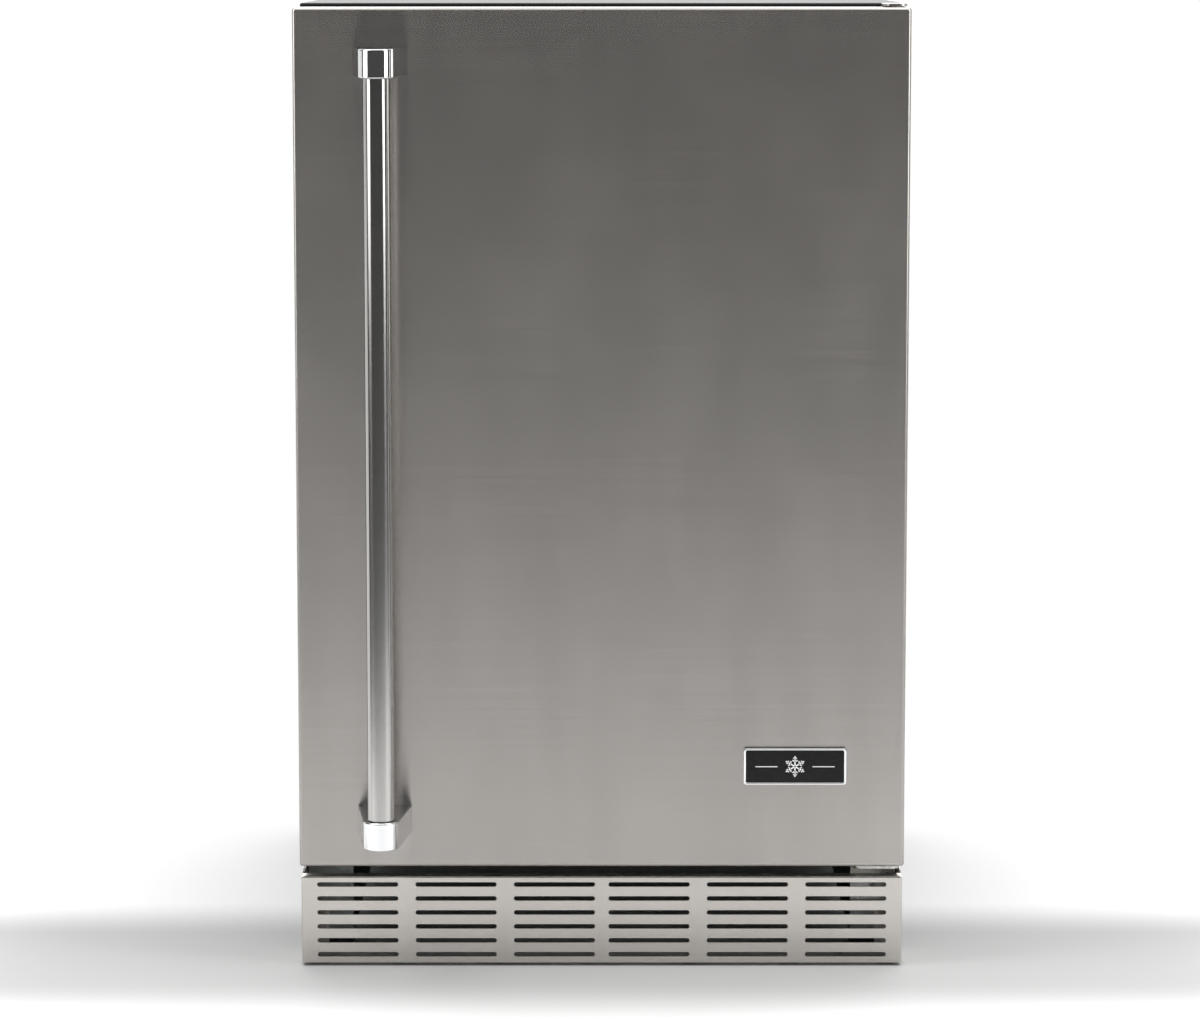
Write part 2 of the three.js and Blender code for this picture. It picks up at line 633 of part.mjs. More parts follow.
function innerLiner() {
  const outer = extrude(insideProfile(LINER), "yz", -LINER_SIDE, LINER_SIDE);
  const tub = cut(outer, extrude(insideProfile(0), "yz", -HALF_INSIDE, HALF_INSIDE));
  const ledges = [];
  for (let i = 0; i < SHELF_COUNT; i++) {
    const top = shelfHeight(i) - CLEAR;
    for (const side of [-1, 1]) {
      const x = [side * (HALF_INSIDE - LEDGE_WIDTH), side * (HALF_INSIDE + 1)].sort((a, b) => a - b);
      const y0 = SHELF_FRONT + LEDGE_START;
      ledges.push(block(x[0], x[1], y0, SHELF_BACK, top - LEDGE_HEIGHT, top));
    }
  }
  return cut(join(tub, ...ledges), drainHole());
}

function cabinetFoam() {
  const g = SHEET + CLEAR;
  const half = HALF_CABINET - g;
  const profile = outline([
    [CABINET_FRONT + g, FLOOR_PLATE + g],
    [STEP_FRONT - CLEAR, FLOOR_PLATE + g],
    [STEP_FRONT - CLEAR, STEP_TOP + g],
    [WRAP_BACK, STEP_TOP + g],
    [WRAP_BACK, OVERALL_HEIGHT - g],
    [CABINET_FRONT + g, OVERALL_HEIGHT - g],
  ]);
  const whole = extrude(profile, "yz", -half, half);
  const grow = LINER + CLEAR;
  const core = extrude(insideProfile(grow), "yz", -HALF_INSIDE - grow, HALF_INSIDE + grow);
  return cut(whole, core, drainHole());
}

function backPanel() {
  return block(-HALF_CABINET, HALF_CABINET, BACK - SHEET, BACK, STEP_TOP, OVERALL_HEIGHT);
}

add(cabinet, "cabinet_wrap", cabinetWrap(), blackPaint);
add(cabinet, "back_panel", backPanel(), blackPaint);
add(cabinet, "floor_plate", floorPlate(), galvanised);
add(cabinet, "cabinet_foam", cabinetFoam(), foamYellow);
add(cabinet, "inner_liner", innerLiner(), whiteLiner);

// ---------- Base ----------
// A channel down each side with a closed front corner; the feet screw through its floor.
function baseRail(side) {
  const outer = HALF_CABINET - SHEET - CLEAR;
  const top = FLOOR_PLATE - CLEAR;
  const back = COVER_BACK - 2 * SHEET - CLEAR;
  const x = [side * outer, side * (outer - RAIL_WIDTH)].sort((a, b) => a - b);
  const s = RAIL_SHEET;
  const whole = block(x[0], x[1], CABINET_FRONT, back, BASE_CLEAR, top);
  const inner = block(
    side > 0 ? x[0] - OVERRUN : x[0] + s,
    side > 0 ? x[1] - s : x[1] + OVERRUN,
    CABINET_FRONT + s,
    back + OVERRUN,
    BASE_CLEAR + s,
    top - s,
  );
  const holes = [FOOT_FRONT, FOOT_BACK].map((y) =>
    rod("z", STUD_RADIUS + RUN, 0, BASE_CLEAR + 2 * s, [side * FOOT_X, y], 20),
  );
  const machine = block(
    -HALF_CABINET, HALF_CABINET, STEP_FRONT, BACK, BASE_CLEAR + 2 * TRAY_LIP, FLOOR_PLATE,
  );
  return cut(whole, inner, machine, ...holes);
}

function slotPath(x, z) {
  const r = SLOT_HEIGHT / 2;
  const half = SLOT_LENGTH / 2 - r;
  const path = new THREE.Path();
  path.moveTo(x - half, z - r);
  path.absarc(x + half, z, r, -Math.PI / 2, Math.PI / 2);
  path.absarc(x - half, z, r, Math.PI / 2, 1.5 * Math.PI);
  path.closePath();
  return path;
}

// The grille's slots: two halves of equal columns with a narrower gap in the middle.
function grilleFace() {
  const face = rectangle(-HALF_GRILLE, HALF_GRILLE, GRILLE_FLOOR_GAP, GRILLE_TOP);
  const columnPitch = SLOT_LENGTH + SLOT_GAP;
  const room = HALF_GRILLE - SLOT_CENTRE_GAP / 2 - SLOT_END_MARGIN + SLOT_GAP;
  const columns = Math.floor(room / columnPitch);
  const height = GRILLE_TOP - GRILLE_FLOOR_GAP;
  const rows = Math.floor((height - 2 * SLOT_ROW_MARGIN) / SLOT_ROW_PITCH) + 1;
  const firstRow = (GRILLE_TOP + GRILLE_FLOOR_GAP - (rows - 1) * SLOT_ROW_PITCH) / 2;
  for (let row = 0; row < rows; row++) {
    const z = firstRow + row * SLOT_ROW_PITCH;
    for (let column = 0; column < columns; column++) {
      const x = SLOT_CENTRE_GAP / 2 + SLOT_LENGTH / 2 + column * columnPitch;
      face.holes.push(slotPath(x, z), slotPath(-x, z));
    }
  }
  return face;
}

function kickGrille() {
  const s = GRILLE_SHEET;
  const back = CABINET_FRONT - 2 * CLEAR;
  const face = extrude(grilleFace(), "xz", GRILLE_FRONT, GRILLE_FRONT + s, 2);
  const flangeBack = GRILLE_FRONT + GRILLE_FLANGE;
  const flange = block(
    -HALF_GRILLE, HALF_GRILLE, GRILLE_FRONT, flangeBack, GRILLE_TOP - s, GRILLE_TOP,
  );
  const pieces = [];
  for (const side of [-1, 1]) {
    const out = side * HALF_GRILLE;
    const x = [out, out - side * s].sort((a, b) => a - b);
    pieces.push(block(x[0], x[1], GRILLE_FRONT, back, GRILLE_FLOOR_GAP, GRILLE_TOP));
    const tab = [out, out - side * GRILLE_TAB].sort((a, b) => a - b);
    const tabTop = GRILLE_TOP - HINGE_LEG;
    pieces.push(block(tab[0], tab[1], back - s, back, GRILLE_FLOOR_GAP + s, tabTop));
  }
  return join(face, flange, ...pieces);
}

function compressorTray() {
  const half = FOOT_X - STUD_RADIUS - FOOT_TRAY_GAP;
  const low = TRAY_TOP - TRAY_SHEET;
  const lip = low + TRAY_LIP;
  return join(
    block(-half, half, MACHINE_FRONT, MACHINE_BACK, low, TRAY_TOP),
    block(-half, half, MACHINE_FRONT, MACHINE_FRONT + TRAY_SHEET, low, lip),
    block(-half, half, MACHINE_BACK - TRAY_SHEET, MACHINE_BACK, low, lip),
  );
}

function levellingFoot() {
  return turned([
    [0, 0],
    [FOOT_RADIUS - FOOT_CHAMFER, 0],
    [FOOT_RADIUS, FOOT_CHAMFER],
    [FOOT_RADIUS, FOOT_PAD - FOOT_SHOULDER[1]],
    [FOOT_RADIUS - FOOT_SHOULDER[0], FOOT_PAD],
    [FOOT_COLLAR_RADIUS, FOOT_PAD],
    [FOOT_COLLAR_RADIUS, BASE_CLEAR - CLEAR],
    [STUD_RADIUS, BASE_CLEAR - CLEAR],
    [STUD_RADIUS, STUD_TOP - 1],
    [STUD_RADIUS - 1, STUD_TOP],
    [0, STUD_TOP],
  ], 12);
}

add(cabinet, "base_rail_left", baseRail(-1), galvanised);
add(cabinet, "base_rail_right", baseRail(1), galvanised);
add(cabinet, "compressor_tray", compressorTray(), galvanised);
add(cabinet, "kick_grille", kickGrille(), grilleSteel);
for (const [name, x, y] of [
  ["front_left", -FOOT_X, FOOT_FRONT],
  ["front_right", FOOT_X, FOOT_FRONT],
  ["rear_left", -FOOT_X, FOOT_BACK],
  ["rear_right", FOOT_X, FOOT_BACK],
]) {
  add(refrigerator, "foot_" + name, levellingFoot(), blackPlastic, [x, y, 0]);
}

// ---------- Hinges ----------
// A plate under the given top with a hole for the pin, and a leg down the cabinet's front.
function hingeBracket(x0, x1, thickness, top) {
  const low = top - thickness;
  const plate = block(x0, x1, PIVOT_Y - HINGE_NOSE, HINGE_BACK, low, top);
  const leg = block(x0, x1, HINGE_BACK - HINGE_LEG_SHEET, HINGE_BACK, top - HINGE_LEG, top);
  const hole = rod("z", PIN_RADIUS + CLEAR, low - 1, top + 1, [PIVOT_X, PIVOT_Y]);
  return cut(join(plate, leg), hole);
}

function upperHingeBracket() {
  const x0 = GASKET_INNER + GASKET_WIDTH + HINGE_GASKET_GAP;
  return hingeBracket(x0, HALF_CABINET, TOP_PLATE, OVERALL_HEIGHT);
}

function lowerHingeBracket() {
  const x0 = LOWER_PLATE_SIDE - LOWER_PLATE_WIDTH;
  return hingeBracket(x0, LOWER_PLATE_SIDE, BOTTOM_PLATE, LOWER_PLATE_TOP);
}

add(cabinet, "upper_hinge_bracket", upperHingeBracket(), zincPlate);
add(cabinet, "lower_hinge_bracket", lowerHingeBracket(), zincPlate);
add(
  cabinet,
  "upper_hinge_pin",
  rod("z", PIN_RADIUS, DOOR_TOP - PIN_DEPTH, OVERALL_HEIGHT, [PIVOT_X, PIVOT_Y]),
  zincPlate,
);
add(
  cabinet,
  "lower_hinge_pin",
  rod("z", PIN_RADIUS, LOWER_PLATE_TOP - BOTTOM_PLATE, DOOR_BOTTOM + PIN_DEPTH, [PIVOT_X, PIVOT_Y]),
  zincPlate,
);

// ---------- Door ----------
function bushHoles() {
  const r = BUSH_RADIUS + CLEAR;
  const top = DOOR_TOP - BUSH_LENGTH - CLEAR;
  return join(
    rod("z", r, top, DOOR_TOP + OVERRUN, [PIVOT_X, PIVOT_Y]),
    rod("z", r, DOOR_BOTTOM - OVERRUN, DOOR_BOTTOM + BUSH_LENGTH + CLEAR, [PIVOT_X, PIVOT_Y]),
  );
}

// A brushed sheet folded back on all four edges, with a lip behind.
function doorSkin() {
  const h = HALF_DOOR;
  const r = DOOR_EDGE_RADIUS;
  const plan = new THREE.Shape();
  plan.moveTo(-h, DOOR_BACK);
  plan.lineTo(-h, DOOR_FRONT + r);
  plan.absarc(-h + r, DOOR_FRONT + r, r, Math.PI, 1.5 * Math.PI);
  plan.absarc(h - r, DOOR_FRONT + r, r, 1.5 * Math.PI, 2 * Math.PI);
  plan.lineTo(h, DOOR_BACK);
  plan.closePath();
  const s = DOOR_SHEET;
  const whole = extrude(plan, "xy", DOOR_BOTTOM, DOOR_TOP);
  const hollow = block(
    -h + s, h - s, DOOR_FRONT + s, DOOR_BACK - s, DOOR_BOTTOM + s, DOOR_TOP - s,
  );
  const lip = s + DOOR_LIP;
  const window = block(
    -h + lip, h - lip, DOOR_BACK - 2 * s, DOOR_BACK + OVERRUN, DOOR_BOTTOM + lip, DOOR_TOP - lip,
  );
  return cut(whole, hollow, window, bushHoles());
}

// The ridge's plan drawn in by the wall given.
function insideRidge(wall, y0, y1) {
  const low = RIDGE_FLOOR + wall;
  return ring(RIDGE_SIDE - wall, low, RIDGE_TOP - wall, RIDGE_WIDTH - 2 * wall, y0, y1);
}

// The moulded inner panel: a flat plate with a hollow ridge and the lugs that hold the bins.
function doorLiner() {
  const lip = DOOR_SHEET + DOOR_LIP + CLEAR;
  const t = DOOR_LINER;
  const half = HALF_DOOR - lip;
  const plate = block(-half, half, DOOR_BACK - t, DOOR_BACK, DOOR_BOTTOM + lip, DOOR_TOP - lip);
  const top = DOOR_BACK + RIDGE_HEIGHT;
  const ridge = ring(RIDGE_SIDE, RIDGE_FLOOR, RIDGE_TOP, RIDGE_WIDTH, DOOR_BACK - t, top);
  const channel = insideRidge(t, DOOR_BACK - 2 * t, top - t);
  const lugs = [];
  const inner = RIDGE_SIDE - RIDGE_WIDTH;
  for (let i = 0; i < BIN_COUNT; i++) {
    const z1 = binBottom(i) + BIN_HEIGHT / 2 - CLEAR;
    for (const side of [-1, 1]) {
      const x = [side * (inner + 1), side * (inner - LUG_WIDTH)].sort((a, b) => a - b);
      lugs.push(
        block(x[0], x[1], DOOR_BACK - 1, DOOR_BACK + LUG_DEPTH, z1 - LUG_HEIGHT, z1),
      );
    }
  }
  return cut(join(plate, ridge, ...lugs), channel);
}

function doorFoam() {
  const g = DOOR_SHEET + CLEAR;
  const half = HALF_DOOR - g;
  const back = DOOR_BACK - DOOR_LINER - CLEAR;
  const body = block(-half, half, DOOR_FRONT + g, back, DOOR_BOTTOM + g, DOOR_TOP - g);
  const t = DOOR_LINER + CLEAR;
  const ridge = insideRidge(t, back - 1, DOOR_BACK + RIDGE_HEIGHT - t);
  return cut(join(body, ridge), bushHoles());
}

// Magnetic gasket: a base on the door, a narrow bellows and the magnet strip's face.
// The bellows and the strip are drawn in from the base's edges.
function doorGasket() {
  const outer = GASKET_INNER + GASKET_WIDTH;
  const low = GASKET_FLOOR - GASKET_WIDTH;
  const high = GASKET_CEILING + GASKET_WIDTH;
  const y0 = DOOR_BACK + CLEAR;
  const y1 = CABINET_FRONT - CLEAR;
  const third = (y1 - y0) / 3;
  const drawnIn = (inset, from, to) =>
    ring(outer - inset, low + inset, high - inset, GASKET_WIDTH - 2 * inset, from, to);
  return join(
    drawnIn(0, y0, y0 + third),
    drawnIn(BELLOWS_INSET, y0 + third / 2, y1 - third / 2),
    drawnIn(MAGNET_INSET, y1 - third, y1),
  );
}

// The bracket's sides run from its base as tangents to its round nose.
function handleBracket() {
  const half = BRACKET_BASE_WIDTH / 2;
  const toCorner = Math.atan2(BAR_REACH, -half);
  const start = toCorner + Math.acos(BRACKET_NOSE_RADIUS / Math.hypot(half, BAR_REACH));
  const plan = new THREE.Shape();
  plan.moveTo(half, 0);
  plan.lineTo(-half, 0);
  plan.absarc(0, -BAR_REACH, BRACKET_NOSE_RADIUS, start, 3 * Math.PI - start);
  plan.closePath();
  return extrude(plan, "xy", 0, BRACKET_HEIGHT, 10);
}

function handleBar(from, to) {
  const r = BAR_DIAMETER / 2;
  const tube = rod("z", r, from, to, [0, 0], 32);
  return cut(tube, rod("z", r - BAR_WALL, from - 1, to + 1, [0, 0], 32));
}

// A raised rim round a recessed plate.
function badge() {
  const w = BADGE_WIDTH / 2;
  const h = BADGE_HEIGHT / 2;
  const m = BADGE_RIM;
  const whole = roundedRectangle(-w, w, -h, h, BADGE_RADIUS);
  const recess = roundedRectangle(-w + m, w - m, -h + m, h - m, BADGE_RADIUS - 1);
  return cut(
    extrude(whole, "xz", -BADGE_DEPTH, -CLEAR),
    extrude(recess, "xz", -BADGE_DEPTH - OVERRUN, -BADGE_DEPTH * BADGE_PLATE_SHARE),
  );
}

function hingeBush(from, to, flangeFrom, flangeTo) {
  const centre = [PIVOT_X, PIVOT_Y];
  const body = rod("z", BUSH_RADIUS, from, to, centre);
  const whole = flangeTo > flangeFrom
    ? join(body, rod("z", BUSH_RADIUS + BUSH_FLANGE, flangeFrom, flangeTo, centre))
    : body;
  return cut(whole, rod("z", PIN_RADIUS + RUN, from - OVERRUN, to + OVERRUN, centre));
}

function doorStop() {
  const x0 = LOWER_PLATE_SIDE - LOWER_PLATE_WIDTH;
  const y0 = PIVOT_Y - HINGE_NOSE;
  const low = DOOR_BOTTOM - CLEAR - STOP_HEIGHT;
  return block(x0, x0 + STOP_WIDTH, y0, PIVOT_Y + HINGE_NOSE, low, DOOR_BOTTOM - CLEAR);
}

add(door, "door_skin", doorSkin(), brushedSteel);
add(door, "door_foam", doorFoam(), foamYellow);
add(door, "door_liner", doorLiner(), whiteLiner);
add(door, "door_gasket", doorGasket(), darkRubber);
for (const [name, z] of [["upper", UPPER_BRACKET_Z], ["lower", LOWER_BRACKET_Z]]) {
  add(door, "handle_bracket_" + name, handleBracket(), chrome, [BAR_X, HANDLE_Y, z]);
}
add(
  door,
  "handle_bar",
  handleBar(LOWER_BRACKET_Z + BRACKET_HEIGHT + CLEAR, UPPER_BRACKET_Z - CLEAR),
  brushedSteel,
  [BAR_X, HANDLE_Y - BAR_REACH, 0],
);
add(door, "badge", badge(), badgeBlack, BADGE_PLACE);
add(door, "hinge_bush_upper", hingeBush(DOOR_TOP - BUSH_LENGTH, DOOR_TOP, 0, 0), blackPlastic);
add(
  door,
  "hinge_bush_lower",
  hingeBush(
    DOOR_BOTTOM - CLEAR - STOP_HEIGHT,
    DOOR_BOTTOM + BUSH_LENGTH,
    DOOR_BOTTOM - CLEAR - STOP_HEIGHT,
    DOOR_BOTTOM - CLEAR,
  ),
  blackPlastic,
);
add(door, "door_stop", doorStop(), greyPlastic);

// ---------- Door bins ----------
// Bins are spaced evenly between the ridge's floor and the space kept under its top.
function binBottom(index) {
  const lowest = RIDGE_FLOOR + RIDGE_WIDTH + BIN_FLOOR_GAP;
  const highest = RIDGE_TOP - RIDGE_WIDTH - BIN_TOP_GAP - BIN_HEIGHT;
  return lowest + (index / (BIN_COUNT - 1)) * (highest - lowest);
}

// An open tray whose ears hang on the door's lugs.
function doorBin() {
  const half = BIN_HALF_WIDTH;
  const tray = openBox(-half, half, 0, BIN_DEPTH, 0, BIN_HEIGHT, BIN_WALL, "z1");
  const w = half * FINGER_SHARE;
  const low = BIN_HEIGHT * FINGER_FLOOR_SHARE;
  const front = BIN_DEPTH - BIN_WALL - 1;
  const finger = block(-w, w, front, BIN_DEPTH + OVERRUN, low, BIN_HEIGHT + 1);
  const ears = [-1, 1].map((side) => {
    const x = [side * (half - 1), side * (half + LUG_WIDTH + 1)].sort((a, b) => a - b);
    const z0 = BIN_HEIGHT / 2;
    return block(x[0], x[1], 2, LUG_DEPTH, z0, z0 + EAR_HEIGHT);
  });
  return join(cut(tray, finger), ...ears);
}

for (let i = 0; i < BIN_COUNT; i++) {
  add(door, "door_bin_" + BIN_NAMES[i], doorBin(), clearPlastic, [0, BIN_BACK, binBottom(i)]);
}

// ---------- Shelves ----------
function shelfTrim() {
  const half = HALF_INSIDE - SHELF_SIDE_GAP - LEDGE_WIDTH - 1;
  const h = TRIM_HEIGHT / 2;
  const slot = GLASS / 2 + CLEAR;
  const profile = outline([
    [0, -h],
    [TRIM_DEPTH, -h + 3],
    [TRIM_DEPTH, -slot],
    [TRIM_WEB, -slot],
    [TRIM_WEB, slot],
    [TRIM_DEPTH, slot],
    [TRIM_DEPTH, h - 4],
    [2, h - 3],
    [0, h - 5],
  ]);
  return extrude(profile, "yz", -half, half);
}

function shelfPlate() {
  const half = HALF_INSIDE - SHELF_SIDE_GAP;
  const y0 = SHELF_FRONT + TRIM_WEB + CLEAR;
  const y1 = SHELF_BACK - SHELF_END_GAP - CLEAR;
  return block(-half, half, y0, y1, 0, GLASS);
}

for (let i = 0; i < SHELF_COUNT; i++) {
  const z = shelfHeight(i);
  const middle = z + GLASS / 2;
  const name = SHELF_NAMES[i];
  add(cabinet, "shelf_glass_" + name, shelfPlate(), shelfGlass, [0, 0, z]);
  add(cabinet, "shelf_front_trim_" + name, shelfTrim(), greyPlastic, [0, SHELF_FRONT, middle]);
}

// ---------- Controls and lamp ----------
function controlHousing() {
  const half = HOUSING_WIDTH / 2;
  const back = HOUSING_FRONT + HOUSING_DEPTH;
  const top = INSIDE_TOP - CLEAR;
  const shell = openBox(
    -half, half, HOUSING_FRONT, back, HOUSING_BOTTOM, top, HOUSING_WALL, "z1",
  );
  const front = [HOUSING_FRONT - OVERRUN, HOUSING_FRONT + OVERRUN];
  const spindle = rod("y", SPINDLE_RADIUS + RUN, ...front, [-CONTROL_SPACING, KNOB_Z]);
  const w = ROCKER_WIDTH / 2 + ROCKER_GAP;
  const h = ROCKER_HEIGHT / 2 + ROCKER_GAP;
  const window = block(
    CONTROL_SPACING - w, CONTROL_SPACING + w, ...front, KNOB_Z - h, KNOB_Z + h,
  );
  return cut(shell, spindle, window);
}

function thermostatKnob() {
  const skirt = rod("y", KNOB_RADIUS, -KNOB_SKIRT, -CLEAR, [0, 0], 32);
  const w = KNOB_GRIP / 2;
  const h = KNOB_RADIUS - 2;
  const grip = block(-w, w, -KNOB_DEPTH, 1 - KNOB_SKIRT, -h, h);
  const spindle = rod("y", SPINDLE_RADIUS, -1, 16, [0, 0], 16);
  return join(skirt, grip, spindle);
}

// The rocker's face is a shallow V about its pivot.
function switchRocker() {
  const h = ROCKER_HEIGHT / 2;
  const profile = outline([
    [5, -h],
    [5, h],
    [-ROCKER_REACH, h],
    [-1, 0],
    [-ROCKER_REACH, -h],
  ]);
  return extrude(profile, "yz", -ROCKER_WIDTH / 2, ROCKER_WIDTH / 2);
}

function lampCover() {
  const w = LAMP_WIDTH / 2;
  const d = LAMP_DEPTH / 2;
  return openBox(-w, w, -d, d, -LAMP_HEIGHT, -CLEAR, LAMP_WALL, "z1");
}

add(cabinet, "control_housing", controlHousing(), whiteLiner);
add(cabinet, "lamp_cover", lampCover(), frostedPlastic, [0, LAMP_Y, HOUSING_BOTTOM]);
add(
  refrigerator,
  "thermostat_knob",
  thermostatKnob(),
  greyPlastic,
  [-CONTROL_SPACING, HOUSING_FRONT, KNOB_Z],
);
add(
  refrigerator,
  "light_switch_rocker",
  switchRocker(),
  blackPlastic,
  [CONTROL_SPACING, HOUSING_FRONT + 1, KNOB_Z],
  [ROCKER_REST_TILT, 0, 0],
);

// ---------- Evaporator and its duct cover ----------
// Straight air slots through a wall from y0 to y1, in columns at each height.
function airSlots(heights, columns, length, gap, y0, y1) {
  const slots = [];
  for (const z of heights) {
    for (let i = 0; i < columns; i++) {
      const x = (i - (columns - 1) / 2) * (length + gap);
      const h = AIR_SLOT_HEIGHT / 2;
      slots.push(block(x - length / 2, x + length / 2, y0, y1, z - h, z + h));
    }
  }
  return slots;
}

function ductCover() {
  const half = HALF_INSIDE - DUCT_SIDE_GAP;
  const back = INSIDE_BACK - CLEAR;
  const shell = openBox(
    -half, half, DUCT_FRONT, back, DUCT_BOTTOM, DUCT_TOP, DUCT_WALL, "y1",
  );
  const through = [DUCT_FRONT - 1, DUCT_FRONT + DUCT_WALL + 1];
  const outlet = [-36, -24, -12, 0, 12, 24, 36].map((step) => COLD_FAN_Z + step);
  const inlet = [12, 24, 36].map((step) => DUCT_BOTTOM + step);
  return cut(
    shell,
    ...airSlots(outlet, 2, 44, 12, ...through),
    ...airSlots(inlet, 4, 64, 16, ...through),
  );
}

function coldMotor() {
  const front = COLD_MOTOR_FRONT;
  const r = COLD_FAN_RADIUS;
  const h = COLD_STRAP_HEIGHT / 2;
  const shaft = rod("y", COLD_SHAFT_RADIUS, front - 12, front + 1, [0, COLD_FAN_Z], 12);
  const body = rod("y", COLD_MOTOR_RADIUS, front, INSIDE_BACK - 2, [0, COLD_FAN_Z]);
  const strap = block(
    -r, r, INSIDE_BACK - 3, INSIDE_BACK - CLEAR, COLD_FAN_Z - h, COLD_FAN_Z + h,
  );
  return join(shaft, body, strap);
}

add(cabinet, "duct_cover", ductCover(), whiteLiner);
add(
  cabinet,
  "evaporator_coil",
  finnedCoil(
    EVAPORATOR_SPACE, EVAPORATOR_HEIGHT, EVAPORATOR_DEPTH, EVAPORATOR_FINS, EVAPORATOR_RUNS,
  ),
  aluminium,
  [0, COLD_COIL_Y, EVAPORATOR_Z],
);
add(cabinet, "evaporator_fan_motor", coldMotor(), blackPlastic);
add(
  refrigerator,
  "evaporator_fan_blade",
  fanBlade(COLD_FAN_RADIUS, COLD_FAN_HUB, COLD_FAN_WIDTH, COLD_SHAFT_RADIUS + RUN),
  whiteLiner,
  [0, COLD_MOTOR_FRONT - COLD_FAN_SETBACK, COLD_FAN_Z],
  [Math.PI / 2, 0, 0],
);

// ---------- Compressor ----------
function compressorShell() {
  const r = COMPRESSOR_RADIUS;
  const h = COMPRESSOR_HEIGHT;
  const w = COMPRESSOR_WALL;
  const dome = COMPRESSOR_DOME;
  const wallOf = (inset) => {
    const profile = [];
    for (let k = 0; k <= 4; k++) {
      const a = -Math.PI / 2 + (k / 4) * (Math.PI / 2);
      profile.push([(r - inset) * Math.cos(a), dome + (dome - inset) * Math.sin(a)]);
    }
    for (let k = 0; k <= 4; k++) {
      const a = (k / 4) * (Math.PI / 2);
      profile.push([(r - inset) * Math.cos(a), h - dome + (dome - inset) * Math.sin(a)]);
    }
    profile[0][0] = 0;
    profile[profile.length - 1][0] = 0;
    return turned(profile, 24);
  };
  const [beyond, across, thickness] = COMPRESSOR_FOOT;
  const foot = block(-r - beyond, r + beyond, -across, across, 0, thickness);
  const terminal = rod("x", 9, -r - 4, -r + 3 * w, [0, TERMINAL_Z], 16);
  const hollow = join(wallOf(w), terminal);
  return cut(join(wallOf(0), foot), hollow);
}

function terminalCover() {
  const r = COMPRESSOR_RADIUS;
  const box = openBox(
    -r - TERMINAL_DEPTH, -r + 2, -20, 20, TERMINAL_Z - 24, TERMINAL_Z + 24, 2, "x1",
  );
  return cut(box, rod("z", r + CLEAR, 0, COMPRESSOR_HEIGHT, [0, 0], 24));
}

function grommet() {
  const profile = [
    [0, 0],
    [GROMMET_RADIUS, 0],
    [GROMMET_RADIUS, 4],
    [6.5, 6],
    [GROMMET_RADIUS, 8],
    [GROMMET_RADIUS, GROMMET_HEIGHT],
    [0, GROMMET_HEIGHT],
  ];
  return turned(profile, 12);
}

function dripTray() {
  const w = COMPRESSOR_RADIUS - 2;
  const y = COMPRESSOR_RADIUS - 6;
  return openBox(-w, w, -y, y, 0, DRIP_TRAY_HEIGHT, DRIP_TRAY_WALL, "z1");
}

function drainTube() {
  const low = DRIP_TRAY_FLOOR + DRIP_TRAY_HEIGHT / 2;
  const centre = [COMPRESSOR_X, DRAIN_Y];
  const tube = rod("z", DRAIN_RADIUS, low, INSIDE_STEP_TOP, centre, 16);
  const rim = INSIDE_STEP_TOP;
  const funnel = rod("z", DRAIN_RADIUS + 4, rim + CLEAR, rim + 2.5, centre, 16);
  const neck = rod("z", DRAIN_RADIUS, rim - 1, rim + 2, centre, 16);
  const bore = rod("z", DRAIN_RADIUS - DRAIN_WALL, low - 1, rim + 5, centre, 16);
  return cut(join(tube, neck, funnel), bore);
}

add(cabinet, "compressor_shell", compressorShell(), blackPaint, COMPRESSOR_PLACE);
add(cabinet, "compressor_terminal_cover", terminalCover(), blackPlastic, COMPRESSOR_PLACE);
add(
  cabinet, "condensate_tray", dripTray(), greyPlastic, [COMPRESSOR_X, MACHINE_Y, DRIP_TRAY_FLOOR],
);
add(cabinet, "drain_tube", drainTube(), darkRubber);
for (const [name, sx, sy] of [
  ["front_left", -1, -1],
  ["front_right", 1, -1],
  ["rear_left", -1, 1],
  ["rear_right", 1, 1],
]) {
  const x = COMPRESSOR_X + sx * (COMPRESSOR_RADIUS + GROMMET_OUT);
  const y = MACHINE_Y + sy * GROMMET_ACROSS;
  add(cabinet, "grommet_" + name, grommet(), darkRubber, [x, y, TRAY_TOP + CLEAR]);
}

// ---------- Condenser and its fan ----------
function fanShroud() {
  const half = (MACHINE_BACK - MACHINE_FRONT) / 2 - TRAY_SHEET - CLEAR;
  const low = TRAY_TOP + CLEAR;
  const face = rectangle(MACHINE_Y - half, MACHINE_Y + half, low, STEP_TOP - 6);
  const hole = new THREE.Path();
  hole.absarc(MACHINE_Y, FAN_Z, FAN_RADIUS + FAN_TIP_GAP, 0, 2 * Math.PI);
  face.holes.push(hole);
  const foot = block(
    SHROUD_X - 16, SHROUD_X + 1, MACHINE_Y - half, MACHINE_Y + half, low, low + SHROUD_SHEET,
  );
  return join(extrude(face, "yz", SHROUD_X, SHROUD_X + SHROUD_SHEET, 16), foot);
}

